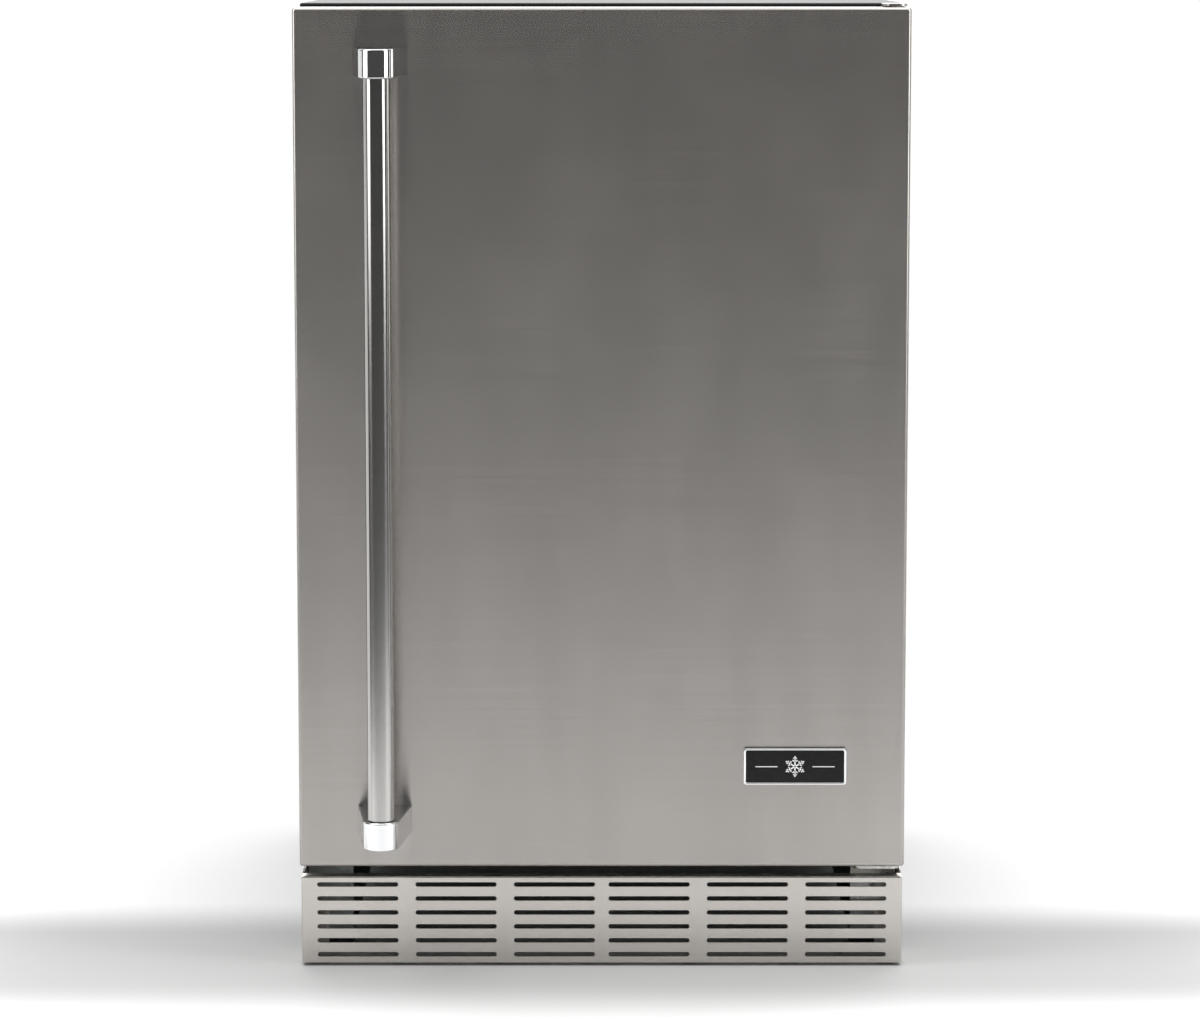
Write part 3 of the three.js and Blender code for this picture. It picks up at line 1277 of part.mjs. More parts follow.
// The motor hangs on a strap across the shroud's opening, on its compressor side.
function fanMotor() {
  const strapX = SHROUD_X + SHROUD_SHEET + FAN_MOTOR_SETBACK;
  const reach = FAN_RADIUS + FAN_TIP_GAP + 6;
  const centre = [MACHINE_Y, FAN_Z];
  const post = SHROUD_X + SHROUD_SHEET + CLEAR;
  const end = strapX + FAN_STRAP_SHEET;
  const half = FAN_STRAP_SHEET / 2;
  const low = FAN_Z - FAN_STRAP_HEIGHT / 2;
  const high = FAN_Z + FAN_STRAP_HEIGHT / 2;
  const pieces = [
    rod("x", FAN_MOTOR_RADIUS, strapX, strapX + FAN_MOTOR_LENGTH, centre),
    rod("x", FAN_SHAFT_RADIUS, strapX - 14, strapX + 1, centre, 12),
    block(strapX, end, MACHINE_Y - reach, MACHINE_Y + reach, low, high),
  ];
  for (const side of [-1, 1]) {
    const y = MACHINE_Y + side * (reach - half);
    pieces.push(block(post, end, y - half, y + half, low, high));
  }
  return join(...pieces);
}

function filterDrier() {
  return turned([
    [0, 0],
    [3, 0],
    [3, 6],
    [DRIER_RADIUS, 16],
    [DRIER_RADIUS, 76],
    [3, 86],
    [3, 92],
    [0, 92],
  ], 16);
}

add(
  cabinet,
  "condenser_coil",
  finnedCoil(
    CONDENSER_SPACE, CONDENSER_HEIGHT, CONDENSER_DEPTH, CONDENSER_FINS, CONDENSER_RUNS,
  ),
  blackPaint,
  [CONDENSER_X, MACHINE_Y, TRAY_TOP + CONDENSER_FLOOR_GAP + CONDENSER_HEIGHT / 2],
  [0, 0, Math.PI / 2],
);
add(cabinet, "condenser_fan_shroud", fanShroud(), blackPlastic);
add(cabinet, "condenser_fan_motor", fanMotor(), blackPaint);
add(
  refrigerator,
  "condenser_fan_blade",
  fanBlade(FAN_RADIUS, FAN_HUB, FAN_WIDTH, FAN_SHAFT_RADIUS + RUN),
  blackPlastic,
  [SHROUD_X + SHROUD_SHEET + FAN_SETBACK, MACHINE_Y, FAN_Z],
  [0, -Math.PI / 2, 0],
);

add(cabinet, "filter_drier", filterDrier(), copper, DRIER_PLACE);

function suctionLine() {
  const x = COMPRESSOR_X + COMPRESSOR_RADIUS + TUBE_RADIUS + 10;
  const z = COMPRESSOR_BASE + COMPRESSOR_HEIGHT * 0.55;
  return pipe([
    [COMPRESSOR_X + COMPRESSOR_RADIUS + 1, MACHINE_Y, z],
    [x, MACHINE_Y, z],
    [x + 8, MACHINE_Y, z + 10],
    [x + 8, MACHINE_Y, z + 40],
    [x + 8, MACHINE_Y + 10, STEP_TOP - 20],
    [x + 8, MACHINE_Y + 10, STEP_TOP - 1],
  ], TUBE_RADIUS, 16);
}

function dischargeLine() {
  const x = COMPRESSOR_X - COMPRESSOR_RADIUS;
  const y = MACHINE_Y - 66;
  const z = COMPRESSOR_BASE + 30;
  return pipe([
    [COMPRESSOR_X, MACHINE_Y - COMPRESSOR_RADIUS - 1.5, z],
    [COMPRESSOR_X, y - 2, z],
    [COMPRESSOR_X - 8, y - 10, z],
    [x, y - 10, z],
    [x - 60, y - 10, z - 10],
    [SHROUD_X + 20, y - 12, z - 10],
  ], TUBE_RADIUS * 0.75, 16);
}

add(cabinet, "suction_line", suctionLine(), copper);
add(cabinet, "discharge_line", dischargeLine(), copper);

// ---------- Rear machine cover and cord gland ----------
function machineCover() {
  const half = HALF_CABINET - SHEET - 2 * CLEAR;
  const y = COVER_BACK;
  const through = [y - OVERRUN, y + OVERRUN];
  const plate = block(-half, half, y - SHEET, y, BASE_CLEAR + 2, STEP_TOP - 2 * CLEAR);
  const length = (2 * half) / COVER_COLUMNS - COVER_COLUMN_GAP;
  const heights = [];
  for (let z = FLOOR_PLATE; z < STEP_TOP - 20; z += COVER_SLOT_PITCH) heights.push(z);
  const gland = rod("y", GLAND_RADIUS + CLEAR, ...through, GLAND_PLACE);
  const slots = airSlots(heights, COVER_COLUMNS, length, COVER_COLUMN_GAP, ...through);
  return cut(plate, gland, ...slots);
}

function cordGland() {
  const y = COVER_BACK;
  const body = rod("y", GLAND_RADIUS, y - 12, y + 1, GLAND_PLACE);
  const flange = rod("y", GLAND_RADIUS + 3, y + CLEAR, y + 4, GLAND_PLACE);
  return cut(join(body, flange), rod("y", GLAND_BORE, y - 20, y + 10, GLAND_PLACE, 16));
}

add(cabinet, "machine_cover", machineCover(), blackPaint);
add(cabinet, "cord_gland", cordGland(), blackPlastic);

export default refrigerator;
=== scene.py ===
"""An undercounter refrigerator with a right-hinged steel door.

Every piece is worked out in metres from the boxes of the frame's nodes, and rides on the
frame's bodies.
"""

import json
import math
from collections import namedtuple

import bmesh
import bpy
from bpy.props import FloatProperty, FloatVectorProperty, IntProperty, PointerProperty
from mathutils import Matrix, Vector


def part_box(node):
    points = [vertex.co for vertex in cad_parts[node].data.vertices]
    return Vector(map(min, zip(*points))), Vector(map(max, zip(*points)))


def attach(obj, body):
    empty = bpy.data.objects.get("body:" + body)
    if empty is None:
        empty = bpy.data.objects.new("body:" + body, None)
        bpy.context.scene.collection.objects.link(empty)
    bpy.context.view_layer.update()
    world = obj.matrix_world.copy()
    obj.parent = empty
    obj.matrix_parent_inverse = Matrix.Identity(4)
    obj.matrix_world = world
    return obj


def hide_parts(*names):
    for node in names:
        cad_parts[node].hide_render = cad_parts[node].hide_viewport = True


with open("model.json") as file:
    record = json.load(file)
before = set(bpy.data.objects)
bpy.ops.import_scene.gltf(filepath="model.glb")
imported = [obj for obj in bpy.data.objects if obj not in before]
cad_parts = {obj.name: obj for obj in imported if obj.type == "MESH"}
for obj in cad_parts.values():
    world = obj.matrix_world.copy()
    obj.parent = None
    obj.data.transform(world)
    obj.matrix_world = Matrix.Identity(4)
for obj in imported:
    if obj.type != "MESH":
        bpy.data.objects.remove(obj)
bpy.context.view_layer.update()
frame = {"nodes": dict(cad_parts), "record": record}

bl_info = {
    "name": "Undercounter refrigerator",
    "version": (1, 0, 0),
    "blender": (4, 5, 0),
    "location": "3D View > Sidebar > Refrigerator",
    "description": "Builds the shells, fittings and finishes of an undercounter refrigerator",
    "category": "Object",
}

MM = 0.001
CLEAR = 0.3 * MM  # between fixed pieces that touch
CUT_PAST = 5 * MM  # a cutting tool on either side of the face it cuts
SHELF_LEVELS = ("lower", "upper")
BIN_LEVELS = ("lower", "middle", "upper")
HINGE_ENDS = ("upper", "lower")

Sides = namedtuple("Sides", "x0 x1 y0 y1 z0 z1")


def sides(node):
    """The six sides of a node's box at rest."""
    low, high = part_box(node)
    return Sides(low.x, high.x, low.y, high.y, low.z, high.z)


def centre_of(box):
    """The centre of a box as x, y and z."""
    return (box.x0 + box.x1) / 2, (box.y0 + box.y1) / 2, (box.z0 + box.z1) / 2


def half_width(box):
    """Half of a box along X, which is the radius of a piece turned about Y or Z."""
    return (box.x1 - box.x0) / 2


DOOR = sides("door_skin")
LINING = sides("door_liner")
GASKET = sides("door_gasket")
WRAP = sides("cabinet_wrap")
BACK = sides("back_panel")
GRILLE = sides("kick_grille")
LINER = sides("inner_liner")
HOUSING = sides("control_housing")
DUCT = sides("duct_cover")
BASE_RAIL_TOP = sides("base_rail_left").z1 + CLEAR
PIVOT_AXIS = centre_of(sides("upper_hinge_pin"))[:2]
PIN_RADIUS = half_width(sides("upper_hinge_pin"))
BUSH_RADIUS = half_width(sides("hinge_bush_upper"))


# ---------- Colours and sizes that a user would change ----------


def linear(code):
    """Linear red, green, blue and alpha from an sRGB hex code."""
    channels = [int(code[i : i + 2], 16) / 255 for i in (1, 3, 5)]
    return [c / 12.92 if c <= 0.04045 else ((c + 0.055) / 1.055) ** 2.4 for c in channels] + [1.0]


def colour(name, code, use):
    """A colour property whose default is an sRGB hex code."""
    return FloatVectorProperty(
        name=name, description=use, subtype="COLOR", size=4, min=0, max=1, default=linear(code)
    )


def length(name, default, use):
    """A length property in metres, given in millimetres."""
    return FloatProperty(
        name=name, description=use, default=default * MM, min=0, unit="LENGTH", subtype="DISTANCE"
    )


class RefrigeratorColours(bpy.types.PropertyGroup):
    """Base colours of the finishes."""

    steel: colour("Door steel", "#bfbbb7", "Brushed sheet of the door")
    bar_steel: colour("Bar steel", "#bcbbb9", "Ground tube of the handle")
    grille_steel: colour("Grille steel", "#cbc7c2", "Brushed sheet of the kick grille")
    chrome: colour("Chrome", "#dfe0e1", "Plating on the handle brackets and the badge's rim")
    enamel: colour("Cabinet black", "#0d0d0e", "Baked enamel on the cabinet's sheet steel")
    zinc_dip: colour("Galvanised steel", "#a7aaa9", "Hot-dipped base rails, floor plate and tray")
    zinc: colour("Zinc plate", "#c2c1bd", "Hinges, pins and screws")
    badge: colour("Badge", "#08080a", "Enamel plate of the badge")
    liner: colour("Liner", "#e8e8e4", "Formed plastic inside the cabinet and the door")
    grey: colour("Grey plastic", "#a9abaa", "Knob, trims, stop and drip tray")
    black: colour("Black plastic", "#1d1d1e", "Feet, bushes, fan shroud and rocker")
    rubber: colour("Dark rubber", "#242425", "Door seal, mounts and drain tube")
    foam: colour("Foam", "#d8c98f", "Rigid foam between the shells")
    copper: colour("Copper", "#b87353", "Refrigerant lines and filter drier")
    aluminium: colour("Aluminium", "#c8cacb", "Fins of the evaporator")
    glass_tint: colour("Glass tint", "#e3f1ec", "Toughened shelves")
    clear_tint: colour("Clear plastic tint", "#f5f9fa", "Door bins")


class RefrigeratorSizes(bpy.types.PropertyGroup):
    """Sizes of what is shaped finer than the frame."""

    door_edge: length("Door edge radius", 3.0, "Fold round the door's face")
    door_sheet: length("Door sheet", 1.0, "Thickness of the door's sheet")
    door_lip: length("Door lip", 13.0, "Fold behind the door's edge")
    bar_wall: length("Bar wall", 1.5, "Wall of the handle's tube")
    bracket_reach: length("Bracket reach", 62.5, "Bracket's foot to the bar's axis")
    bracket_edge: length("Bracket edge radius", 1.2, "Rounding along the cast bracket's edges")
    badge_rim: length("Badge rim", 2.0, "Width of the badge's plated rim")
    grille_sheet: length("Grille sheet", 1.2, "Thickness of the grille's sheet")
    grille_flange: length("Grille flange", 12.0, "Depth of the grille's top fold")
    slot_length: length("Slot length", 70.0, "Length of one air slot")
    slot_height: length("Slot height", 4.0, "Height of one air slot")
    slot_gap: length("Slot gap", 14.8, "Metal between neighbouring slots")
    slot_centre_gap: length("Slot centre gap", 11.6, "Metal between the two middle slots")
    slot_pitch: length("Slot row pitch", 12.3, "Height from one row of slots to the next")
    liner_radius: length("Liner radius", 7.0, "Rounding inside the formed liner")
    liner_wall: length("Liner wall", 2.0, "Thickness of the formed liners")
    slot_rows: IntProperty(name="Slot rows", description="Rows of air slots", default=6, min=1)
    slot_columns: IntProperty(
        name="Slot columns", description="Slots in each row, both halves", default=6, min=2
    )


class RefrigeratorStudio(bpy.types.PropertyGroup):
    """Camera and light."""

    eye_distance: length("Eye distance", 3500.0, "Door's face to the camera")
    eye_height: length("Eye height", 48.0, "Camera above the door's top edge")
    tilt: FloatProperty(
        name="Tilt", description="Camera's tilt below level",
        default=math.radians(7.29), subtype="ANGLE", unit="ROTATION",
    )
    lens: FloatProperty(
        name="Lens", description="Focal length on a 36 mm sensor", default=124.6, unit="CAMERA"
    )
    sky: FloatProperty(name="Sky", description="Brightness of the white surroundings", default=2.1)
    softbox: FloatProperty(name="Softboxes", description="Power of each side light", default=9.0)
    flag: FloatProperty(
        name="Dark flag", description="Brightness of the dark screen that the door reflects",
        default=0.075,
    )


def sizes():
    """The sizes of this scene."""
    return bpy.context.scene.refrigerator_sizes


def colours():
    """The colours of this scene."""
    return bpy.context.scene.refrigerator_colours


def studio():
    """The camera and light settings of this scene."""
    return bpy.context.scene.refrigerator_studio


# ---------- Making meshes ----------


def on_axis(axis, along, a, b):
    """A point from its place along one axis and its other two coordinates, in order."""
    return {"x": (along, a, b), "y": (a, along, b), "z": (a, b, along)}[axis]


def add_box(bm, x0, x1, y0, y1, z0, z1):
    """Adds a box between six sides and returns its vertices."""
    made = bmesh.ops.create_cube(bm, size=1.0)["verts"]
    bmesh.ops.scale(bm, vec=(x1 - x0, y1 - y0, z1 - z0), verts=made)
    bmesh.ops.translate(bm, vec=((x0 + x1) / 2, (y0 + y1) / 2, (z0 + z1) / 2), verts=made)
    return made


def round_edges(bm, edges, radius, segments=3):
    """Rounds the given edges."""
    bmesh.ops.bevel(
        bm, geom=list(edges), offset=radius, offset_type="OFFSET", affect="EDGES",
        segments=segments, profile=0.5, material=-1, clamp_overlap=True,
    )


def sharp_edges(bm, verts=None, angle=0.6):
    """Edges where two faces meet at more than an angle, of the whole mesh or of some vertices."""
    edges = bm.edges if verts is None else {e for v in verts for e in v.link_edges}
    return [e for e in edges if len(e.link_faces) == 2 and e.calc_face_angle(0) > angle]


def add_rounded_box(bm, x0, x1, y0, y1, z0, z1, radius, segments=3):
    """Adds a box with all its edges rounded."""
    verts = add_box(bm, x0, x1, y0, y1, z0, z1)
    round_edges(bm, sharp_edges(bm, verts), radius, segments)


def add_open_box(bm, box, open_axis, radius, segments, wall):
    """Adds a thin shell with soft edges, open towards the positive end of one axis."""
    add_box(bm, *box)
    gone = [f for f in bm.faces if getattr(f.normal, open_axis) > 0.5]
    bmesh.ops.delete(bm, geom=gone, context="FACES")
    round_edges(bm, sharp_edges(bm), radius, segments)
    bmesh.ops.solidify(bm, geom=bm.faces[:], thickness=wall)


def add_turned(bm, profile, axis, centre, steps=48, closed=False):
    """Spins a profile of (radius, place along the axis) round an axis through a centre."""
    a, b = centre
    verts = [bm.verts.new(on_axis(axis, along, a + radius, b)) for radius, along in profile]
    pairs = list(zip(verts, verts[1:] + verts[:1] if closed else verts[1:]))
    edges = [bm.edges.new(pair) for pair in pairs]
    bmesh.ops.spin(
        bm, geom=verts + edges, cent=on_axis(axis, 0, a, b), axis=on_axis(axis, 1, 0, 0),
        dvec=(0, 0, 0), angle=2 * math.pi, steps=steps, use_merge=True,
    )
    bmesh.ops.remove_doubles(bm, verts=bm.verts, dist=MM / 1000)


def add_prism(bm, outline, axis, start, end):
    """Extrudes an outline of the two other coordinates along an axis, and returns its vertices."""
    base = [bm.verts.new(on_axis(axis, start, a, b)) for a, b in outline]
    face = bm.faces.new(base)
    moved = bmesh.ops.extrude_face_region(bm, geom=[face])["geom"]
    far = [v for v in moved if isinstance(v, bmesh.types.BMVert)]
    bmesh.ops.translate(bm, vec=on_axis(axis, end - start, 0, 0), verts=far)
    return base + far


def arc(a, b, radius, start, end, steps):
    """Points of an arc, ends included, with angles in radians."""
    turn = (end - start) / steps
    return [
        (a + radius * math.cos(start + i * turn), b + radius * math.sin(start + i * turn))
        for i in range(steps + 1)
    ]


def circle(a, b, radius, steps):
    """Outline of a circle, or of a polygon with few steps."""
    return arc(a, b, radius, 0, 2 * math.pi, steps)[:-1]


def mirrored(side, a, b):
    """Two places along X on the side 1, or mirrored on the side -1, lowest first."""
    return sorted((side * a, side * b))


def rounded_rectangle(a0, a1, b0, b1, radius, steps=5):
    """Outline of a rectangle with round corners."""
    quarter = math.pi / 2
    corners = [(a1 - radius, b0 + radius), (a1 - radius, b1 - radius)]
    corners += [(a0 + radius, b1 - radius), (a0 + radius, b0 + radius)]
    points = []
    for i, (a, b) in enumerate(corners):
        points += arc(a, b, radius, (i - 1) * quarter, i * quarter, steps)
    return points


def stadium(a, b, length_a, height_b, steps=8):
    """Outline of a slot with half-round ends, long along the first coordinate."""
    radius = height_b / 2
    reach = length_a / 2 - radius
    quarter = math.pi / 2
    return arc(a + reach, b, radius, -quarter, quarter, steps) + arc(
        a - reach, b, radius, quarter, 3 * quarter, steps
    )


def add_loft(bm, loops, cap_last=True):
    """Joins loops of equal numbers of points with walls, and closes the last loop."""
    rows = [[bm.verts.new(point) for point in loop] for loop in loops]
    for lower, upper in zip(rows, rows[1:]):
        for i in range(len(lower)):
            j = (i + 1) % len(lower)
            bm.faces.new((lower[i], lower[j], upper[j], upper[i]))
    if cap_last:
        bm.faces.new(rows[-1])
    return rows


def rings(axis, box, profile, corner):
    """Loops of a rectangle with round corners, one for each (inset, place along the axis).
    A third number is that loop's own corner radius."""
    a0, a1, b0, b1 = box
    loops = []
    for inset, along, *own in profile:
        radius = own[0] if own else max(corner - inset, 0.02 * MM)
        loop = rounded_rectangle(a0 + inset, a1 - inset, b0 + inset, b1 - inset, radius)
        loops.append([on_axis(axis, along, a, b) for a, b in loop])
    return loops


def add_dish(bm, axis, box, profile, corner):
    """A closed body from rings that follow a profile, with a face over its first and last ring."""
    rows = add_loft(bm, rings(axis, box, profile, corner))
    bm.faces.new(rows[0])


def add_frame(bm, axis, box, profile, corner):
    """A closed picture frame whose section is the profile."""
    add_loft(bm, rings(axis, box, profile + profile[:1], corner), cap_last=False)


def add_sheet_faces(bm, faces):
    """Adds flat faces given by their corners and merges what they share."""
    for corners in faces:
        bm.faces.new([bm.verts.new(corner) for corner in corners])
    bmesh.ops.remove_doubles(bm, verts=bm.verts, dist=MM / 100)


def fold_sheet(bm, bend_radius, thickness):
    """Rounds the bends of a surface of thin sheet, then gives it its thickness behind its face."""
    bmesh.ops.recalc_face_normals(bm, faces=bm.faces)
    round_edges(bm, sharp_edges(bm), bend_radius)
    bmesh.ops.solidify(bm, geom=bm.faces[:], thickness=thickness)


def add_screw(bm, axis, along, a, b, direction, radius=3.6 * MM, steps=18):
    """A pan-head screw whose head stands out along an axis, with a dimpled recess."""
    rise = radius * 0.55 * direction
    profile = [
        (radius, along),
        (radius, along + 0.4 * rise),
        (radius * 0.86, along + 0.8 * rise),
        (radius * 0.55, along + rise),
        (radius * 0.42, along + rise),
        (radius * 0.22, along + 0.45 * rise),
        (0, along + 0.35 * rise),
    ]
    add_turned(bm, profile, axis, (a, b), steps)


def link_mesh(name, bm):
    """A new object in the scene that holds the mesh of a bmesh, which is freed."""
    mesh = bpy.data.meshes.new(name)
    bm.to_mesh(mesh)
    bm.free()
    made = bpy.data.objects.new(name, mesh)
    bpy.context.scene.collection.objects.link(made)
    return made


def make_piece(name, bm, finish, body, *nodes, outward=True, corner=32.0):
    """Turns a bmesh into a shaded piece on its body, with its finish, and hides the frame's nodes
    that it replaces.
    """
    bmesh.ops.remove_doubles(bm, verts=bm.verts, dist=MM / 1000)
    if outward:
        bmesh.ops.recalc_face_normals(bm, faces=bm.faces)
    piece = link_mesh(name, bm)
    shade(piece, corner)
    dress(piece, finish)
    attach(piece, body)
    if nodes:
        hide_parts(*nodes)
    return piece


def shade(piece, corner=32.0):
    """Smooth shading with crisp corners above an angle in degrees, and flat faces kept flat."""
    mesh = piece.data
    mesh.polygons.foreach_set("use_smooth", [True] * len(mesh.polygons))
    mesh.set_sharp_from_angle(angle=math.radians(corner))
    weighted = piece.modifiers.new("weighted", "WEIGHTED_NORMAL")
    weighted.keep_sharp = True
    keep_shape(piece)


def dress(piece, finish):
    """Gives a piece its material, named after its finish, in place of the ones it had."""
    name = finish + "_finish"
    material = bpy.data.materials.get(name) or FINISHES[finish](name)
    piece.data.materials.clear()
    piece.data.materials.append(material)


def keep_shape(piece):
    """Makes the result of a piece's modifiers its mesh."""
    bpy.context.view_layer.update()
    graph = bpy.context.evaluated_depsgraph_get()
    mesh = bpy.data.meshes.new_from_object(piece.evaluated_get(graph))
    worn = piece.data
    piece.modifiers.clear()
    piece.data = mesh
    bpy.data.meshes.remove(worn)


def drill(piece, bm):
    """Cuts the solids of a bmesh out of a piece."""
    bmesh.ops.recalc_face_normals(bm, faces=bm.faces)
    tool = link_mesh("tool", bm)
    mesh = tool.data
    cut = piece.modifiers.new("cut", "BOOLEAN")
    cut.operation = "DIFFERENCE"
    cut.solver = "EXACT"
    cut.object = tool
    keep_shape(piece)
    bpy.data.objects.remove(tool)
    bpy.data.meshes.remove(mesh)
    shade(piece)


# ---------- Finishes ----------


def add_node(tree, kind, inputs=None, **settings):
    """Adds a shader node, makes its settings, and fills its sockets with values or links."""
    node = tree.nodes.new(kind)
    for name, value in settings.items():
        setattr(node, name, value)
    for key, value in (inputs or {}).items():
        if isinstance(value, bpy.types.NodeSocket):
            tree.links.new(value, node.inputs[key])
        else:
            node.inputs[key].default_value = value
    return node


def new_finish(name, inputs):
    """A material whose Principled shader has these socket values, with its tree and shader."""
    material = bpy.data.materials.new(name)
    material.use_nodes = True
    tree = material.node_tree
    shader = tree.nodes["Principled BSDF"]
    for key, value in inputs.items():
        shader.inputs[key].default_value = value
    return material, tree, shader


def object_place(tree):
    """The place on the piece in its own metres."""
    return add_node(tree, "ShaderNodeTexCoord").outputs["Object"]


def grain(tree, size, low, high, stretch=(1, 1, 1), detail=2.0, start=0.3, stop=0.7):
    """Noise with features of a size in millimetres, longer along stretched axes, low to high."""
    scale = [1 / (MM * size * s) for s in stretch]
    mapping = add_node(
        tree, "ShaderNodeMapping", {"Vector": object_place(tree), "Scale": scale}
    )
    noise = add_node(
        tree, "ShaderNodeTexNoise",
        {"Vector": mapping.outputs[0], "Scale": 1.0, "Detail": detail},
    )
    spread = add_node(tree, "ShaderNodeMapRange", {
        "Value": noise.outputs[0], "From Min": start, "From Max": stop,
        "To Min": low, "To Max": high,
    })
    return spread.outputs[0]


def fade(tree, value, start, stop):
    """A soft step from 0 to 1 as a value goes from start to stop."""
    return add_node(
        tree, "ShaderNodeMapRange", {"Value": value, "From Min": start, "From Max": stop},
        interpolation_type="SMOOTHSTEP",
    ).outputs[0]


def scaled(tree, value, factor, plus=0.0):
    """A value times a factor, plus a number."""
    return add_node(
        tree, "ShaderNodeMath", {0: value, 1: factor, 2: plus}, operation="MULTIPLY_ADD"
    ).outputs[0]


def combined(tree, operation, *values):
    """Several values brought together by a math node's operation, two at a time."""
    whole = values[0]
    for value in values[1:]:
        whole = add_node(
            tree, "ShaderNodeMath", {0: whole, 1: value}, operation=operation
        ).outputs[0]
    return whole


def shaded(tree, base, factor):
    """The base colour multiplied by a grey value near 1."""
    mix = add_node(
        tree, "ShaderNodeMix", {0: 1.0, 6: base, 7: factor}, data_type="RGBA", blend_type="MULTIPLY"
    )
    return mix.outputs[2]


def blended(tree, factor, first, second):
    """One colour turning to another as the factor goes from 0 to 1."""
    mix = add_node(tree, "ShaderNodeMix", {0: factor, 6: first, 7: second}, data_type="RGBA")
    return mix.outputs[2]


def raise_surface(tree, shader, height, depth):
    """Raises the surface by a height of 0 to 1 over a depth in millimetres."""
    bump = add_node(tree, "ShaderNodeBump", {"Height": height, "Distance": depth * MM})
    tree.links.new(bump.outputs["Normal"], shader.inputs["Normal"])


def brush_round(tree, shader):
    """Turns the stretch of the reflections to the Z axis."""
    tangent = add_node(tree, "ShaderNodeTangent", direction_type="RADIAL", axis="Z")
    tree.links.new(tangent.outputs[0], shader.inputs["Tangent"])


def brushed_sheet(name, base, rough, fine, smear, smudge):
    """Stainless sheet brushed along X: the grit's lines spread each reflection up and down."""
    material, tree, shader = new_finish(
        name, {"Metallic": 1.0, "Anisotropic": smear, "Anisotropic Rotation": 0.25}
    )
    lines = grain(tree, fine, -1.0, 1.0, (160, 1, 1), 3.0)
    bands = grain(tree, fine * 4, -1.0, 1.0, (120, 1, 1))
    prints = grain(tree, 90, 0.0, 1.0, (1, 1, 1.6), 4.0, 0.45, 0.75)
    wiped = grain(tree, 26, -1.0, 1.0, (1, 1, 8), 2.0)
    tone = combined(
        tree, "ADD", scaled(tree, lines, 0.035, 1.0), scaled(tree, bands, 0.012),
        scaled(tree, wiped, smudge * 0.03), scaled(tree, prints, smudge * 0.06),
    )
    tree.links.new(shaded(tree, base, tone), shader.inputs["Base Color"])
    dull = combined(
        tree, "ADD", scaled(tree, lines, 0.006, rough), scaled(tree, prints, smudge * 0.012)
    )
    tree.links.new(dull, shader.inputs["Roughness"])
    brush_round(tree, shader)
    raise_surface(tree, shader, lines, 0.002)
    return material


def brushed_stainless(name):
    """Type 304 sheet with a No. 4 brushed face: grey, streaked sideways, faintly hand-marked.
    Real grit lines are about 0.1 mm apart; they are drawn 0.9 mm apart so that they show."""
    return brushed_sheet(name, colours().steel, 0.25, 0.9, 1.0, 1.0)


def grille_stainless(name):
    """The same sheet on the kick grille, a lighter batch with a tighter grain."""
    return brushed_sheet(name, colours().grille_steel, 0.24, 0.8, 0.8, 0.6)


def ground_stainless(name):
    """Tube ground between wheels: rings too fine to see that keep upright highlights crisp."""
    material, tree, shader = new_finish(
        name, {"Metallic": 1.0, "Anisotropic": 1.0, "Anisotropic Rotation": 0.25}
    )
    lines = grain(tree, 0.7, -1.0, 1.0, (30, 30, 1), 2.0)
    tone = scaled(tree, lines, 0.03, 1.0)
    tree.links.new(shaded(tree, colours().bar_steel, tone), shader.inputs["Base Color"])
    tree.links.new(scaled(tree, lines, 0.008, 0.14), shader.inputs["Roughness"])
    brush_round(tree, shader)
    return material


def polished_chrome(name):
    """Bright chrome plate on a casting: mirror-like, with a faint swell and fingerprints."""
    material, tree, shader = new_finish(name, {"Base Color": colours().chrome, "Metallic": 1.0})
    tree.links.new(grain(tree, 14, 0.03, 0.09, detail=4.0), shader.inputs["Roughness"])
    raise_surface(tree, shader, grain(tree, 9, 0.0, 1.0), 0.03)
    return material


def black_enamel(name):
    """Baked enamel on sheet steel: satin black with a fine orange peel, drawn 2 mm across."""
    material, tree, shader = new_finish(name, {"IOR": 1.5, "Specular IOR Level": 0.35})
    tone = grain(tree, 160, 0.94, 1.08, detail=3.0)
    tree.links.new(shaded(tree, colours().enamel, tone), shader.inputs["Base Color"])
    tree.links.new(grain(tree, 130, 0.375, 0.405, detail=4.0), shader.inputs["Roughness"])
    raise_surface(tree, shader, grain(tree, 2.0, 0.0, 1.0), 0.05)
    return material


def galvanised_steel(name):
    """Hot-dipped steel: zinc crystals about 14 mm across, each with its own grey and shine."""
    material, tree, shader = new_finish(name, {"Metallic": 0.9})
    crystals = add_node(
        tree, "ShaderNodeTexVoronoi", {"Vector": object_place(tree), "Scale": 1 / (14 * MM)}
    )
    value = add_node(tree, "ShaderNodeSeparateColor", {0: crystals.outputs["Color"]})
    tone = add_node(
        tree, "ShaderNodeMapRange", {"Value": value.outputs[0], "To Min": 0.78, "To Max": 1.12}
    )
    tree.links.new(shaded(tree, colours().zinc_dip, tone.outputs[0]), shader.inputs["Base Color"])
    dull = add_node(
        tree, "ShaderNodeMapRange", {"Value": value.outputs[1], "To Min": 0.36, "To Max": 0.56}
    )
    tree.links.new(dull.outputs[0], shader.inputs["Roughness"])
    return material


def zinc_plate(name):
    """Bright zinc plate with a thin passivation: pale metal, a hint of straw and blue."""
    material, tree, shader = new_finish(name, {"Metallic": 1.0})
    film = grain(tree, 7, 0.0, 1.0, detail=3.0)
    straw, sky = linear("#cfc8b4"), linear("#bcc1c6")
    tint = blended(tree, film, straw, sky)
    tree.links.new(blended(tree, 0.5, colours().zinc, tint), shader.inputs["Base Color"])
    tree.links.new(grain(tree, 3, 0.24, 0.38), shader.inputs["Roughness"])
    return material


def badge_enamel(name):
    """Glossy black enamel filled into a plated frame, a little uneven in its shine."""
    material, tree, shader = new_finish(
        name, {"Base Color": colours().badge, "Specular IOR Level": 0.25}
    )
    tree.links.new(grain(tree, 4, 0.12, 0.22, detail=3.0), shader.inputs["Roughness"])
    raise_surface(tree, shader, grain(tree, 6, 0.0, 1.0), 0.01)
    return material


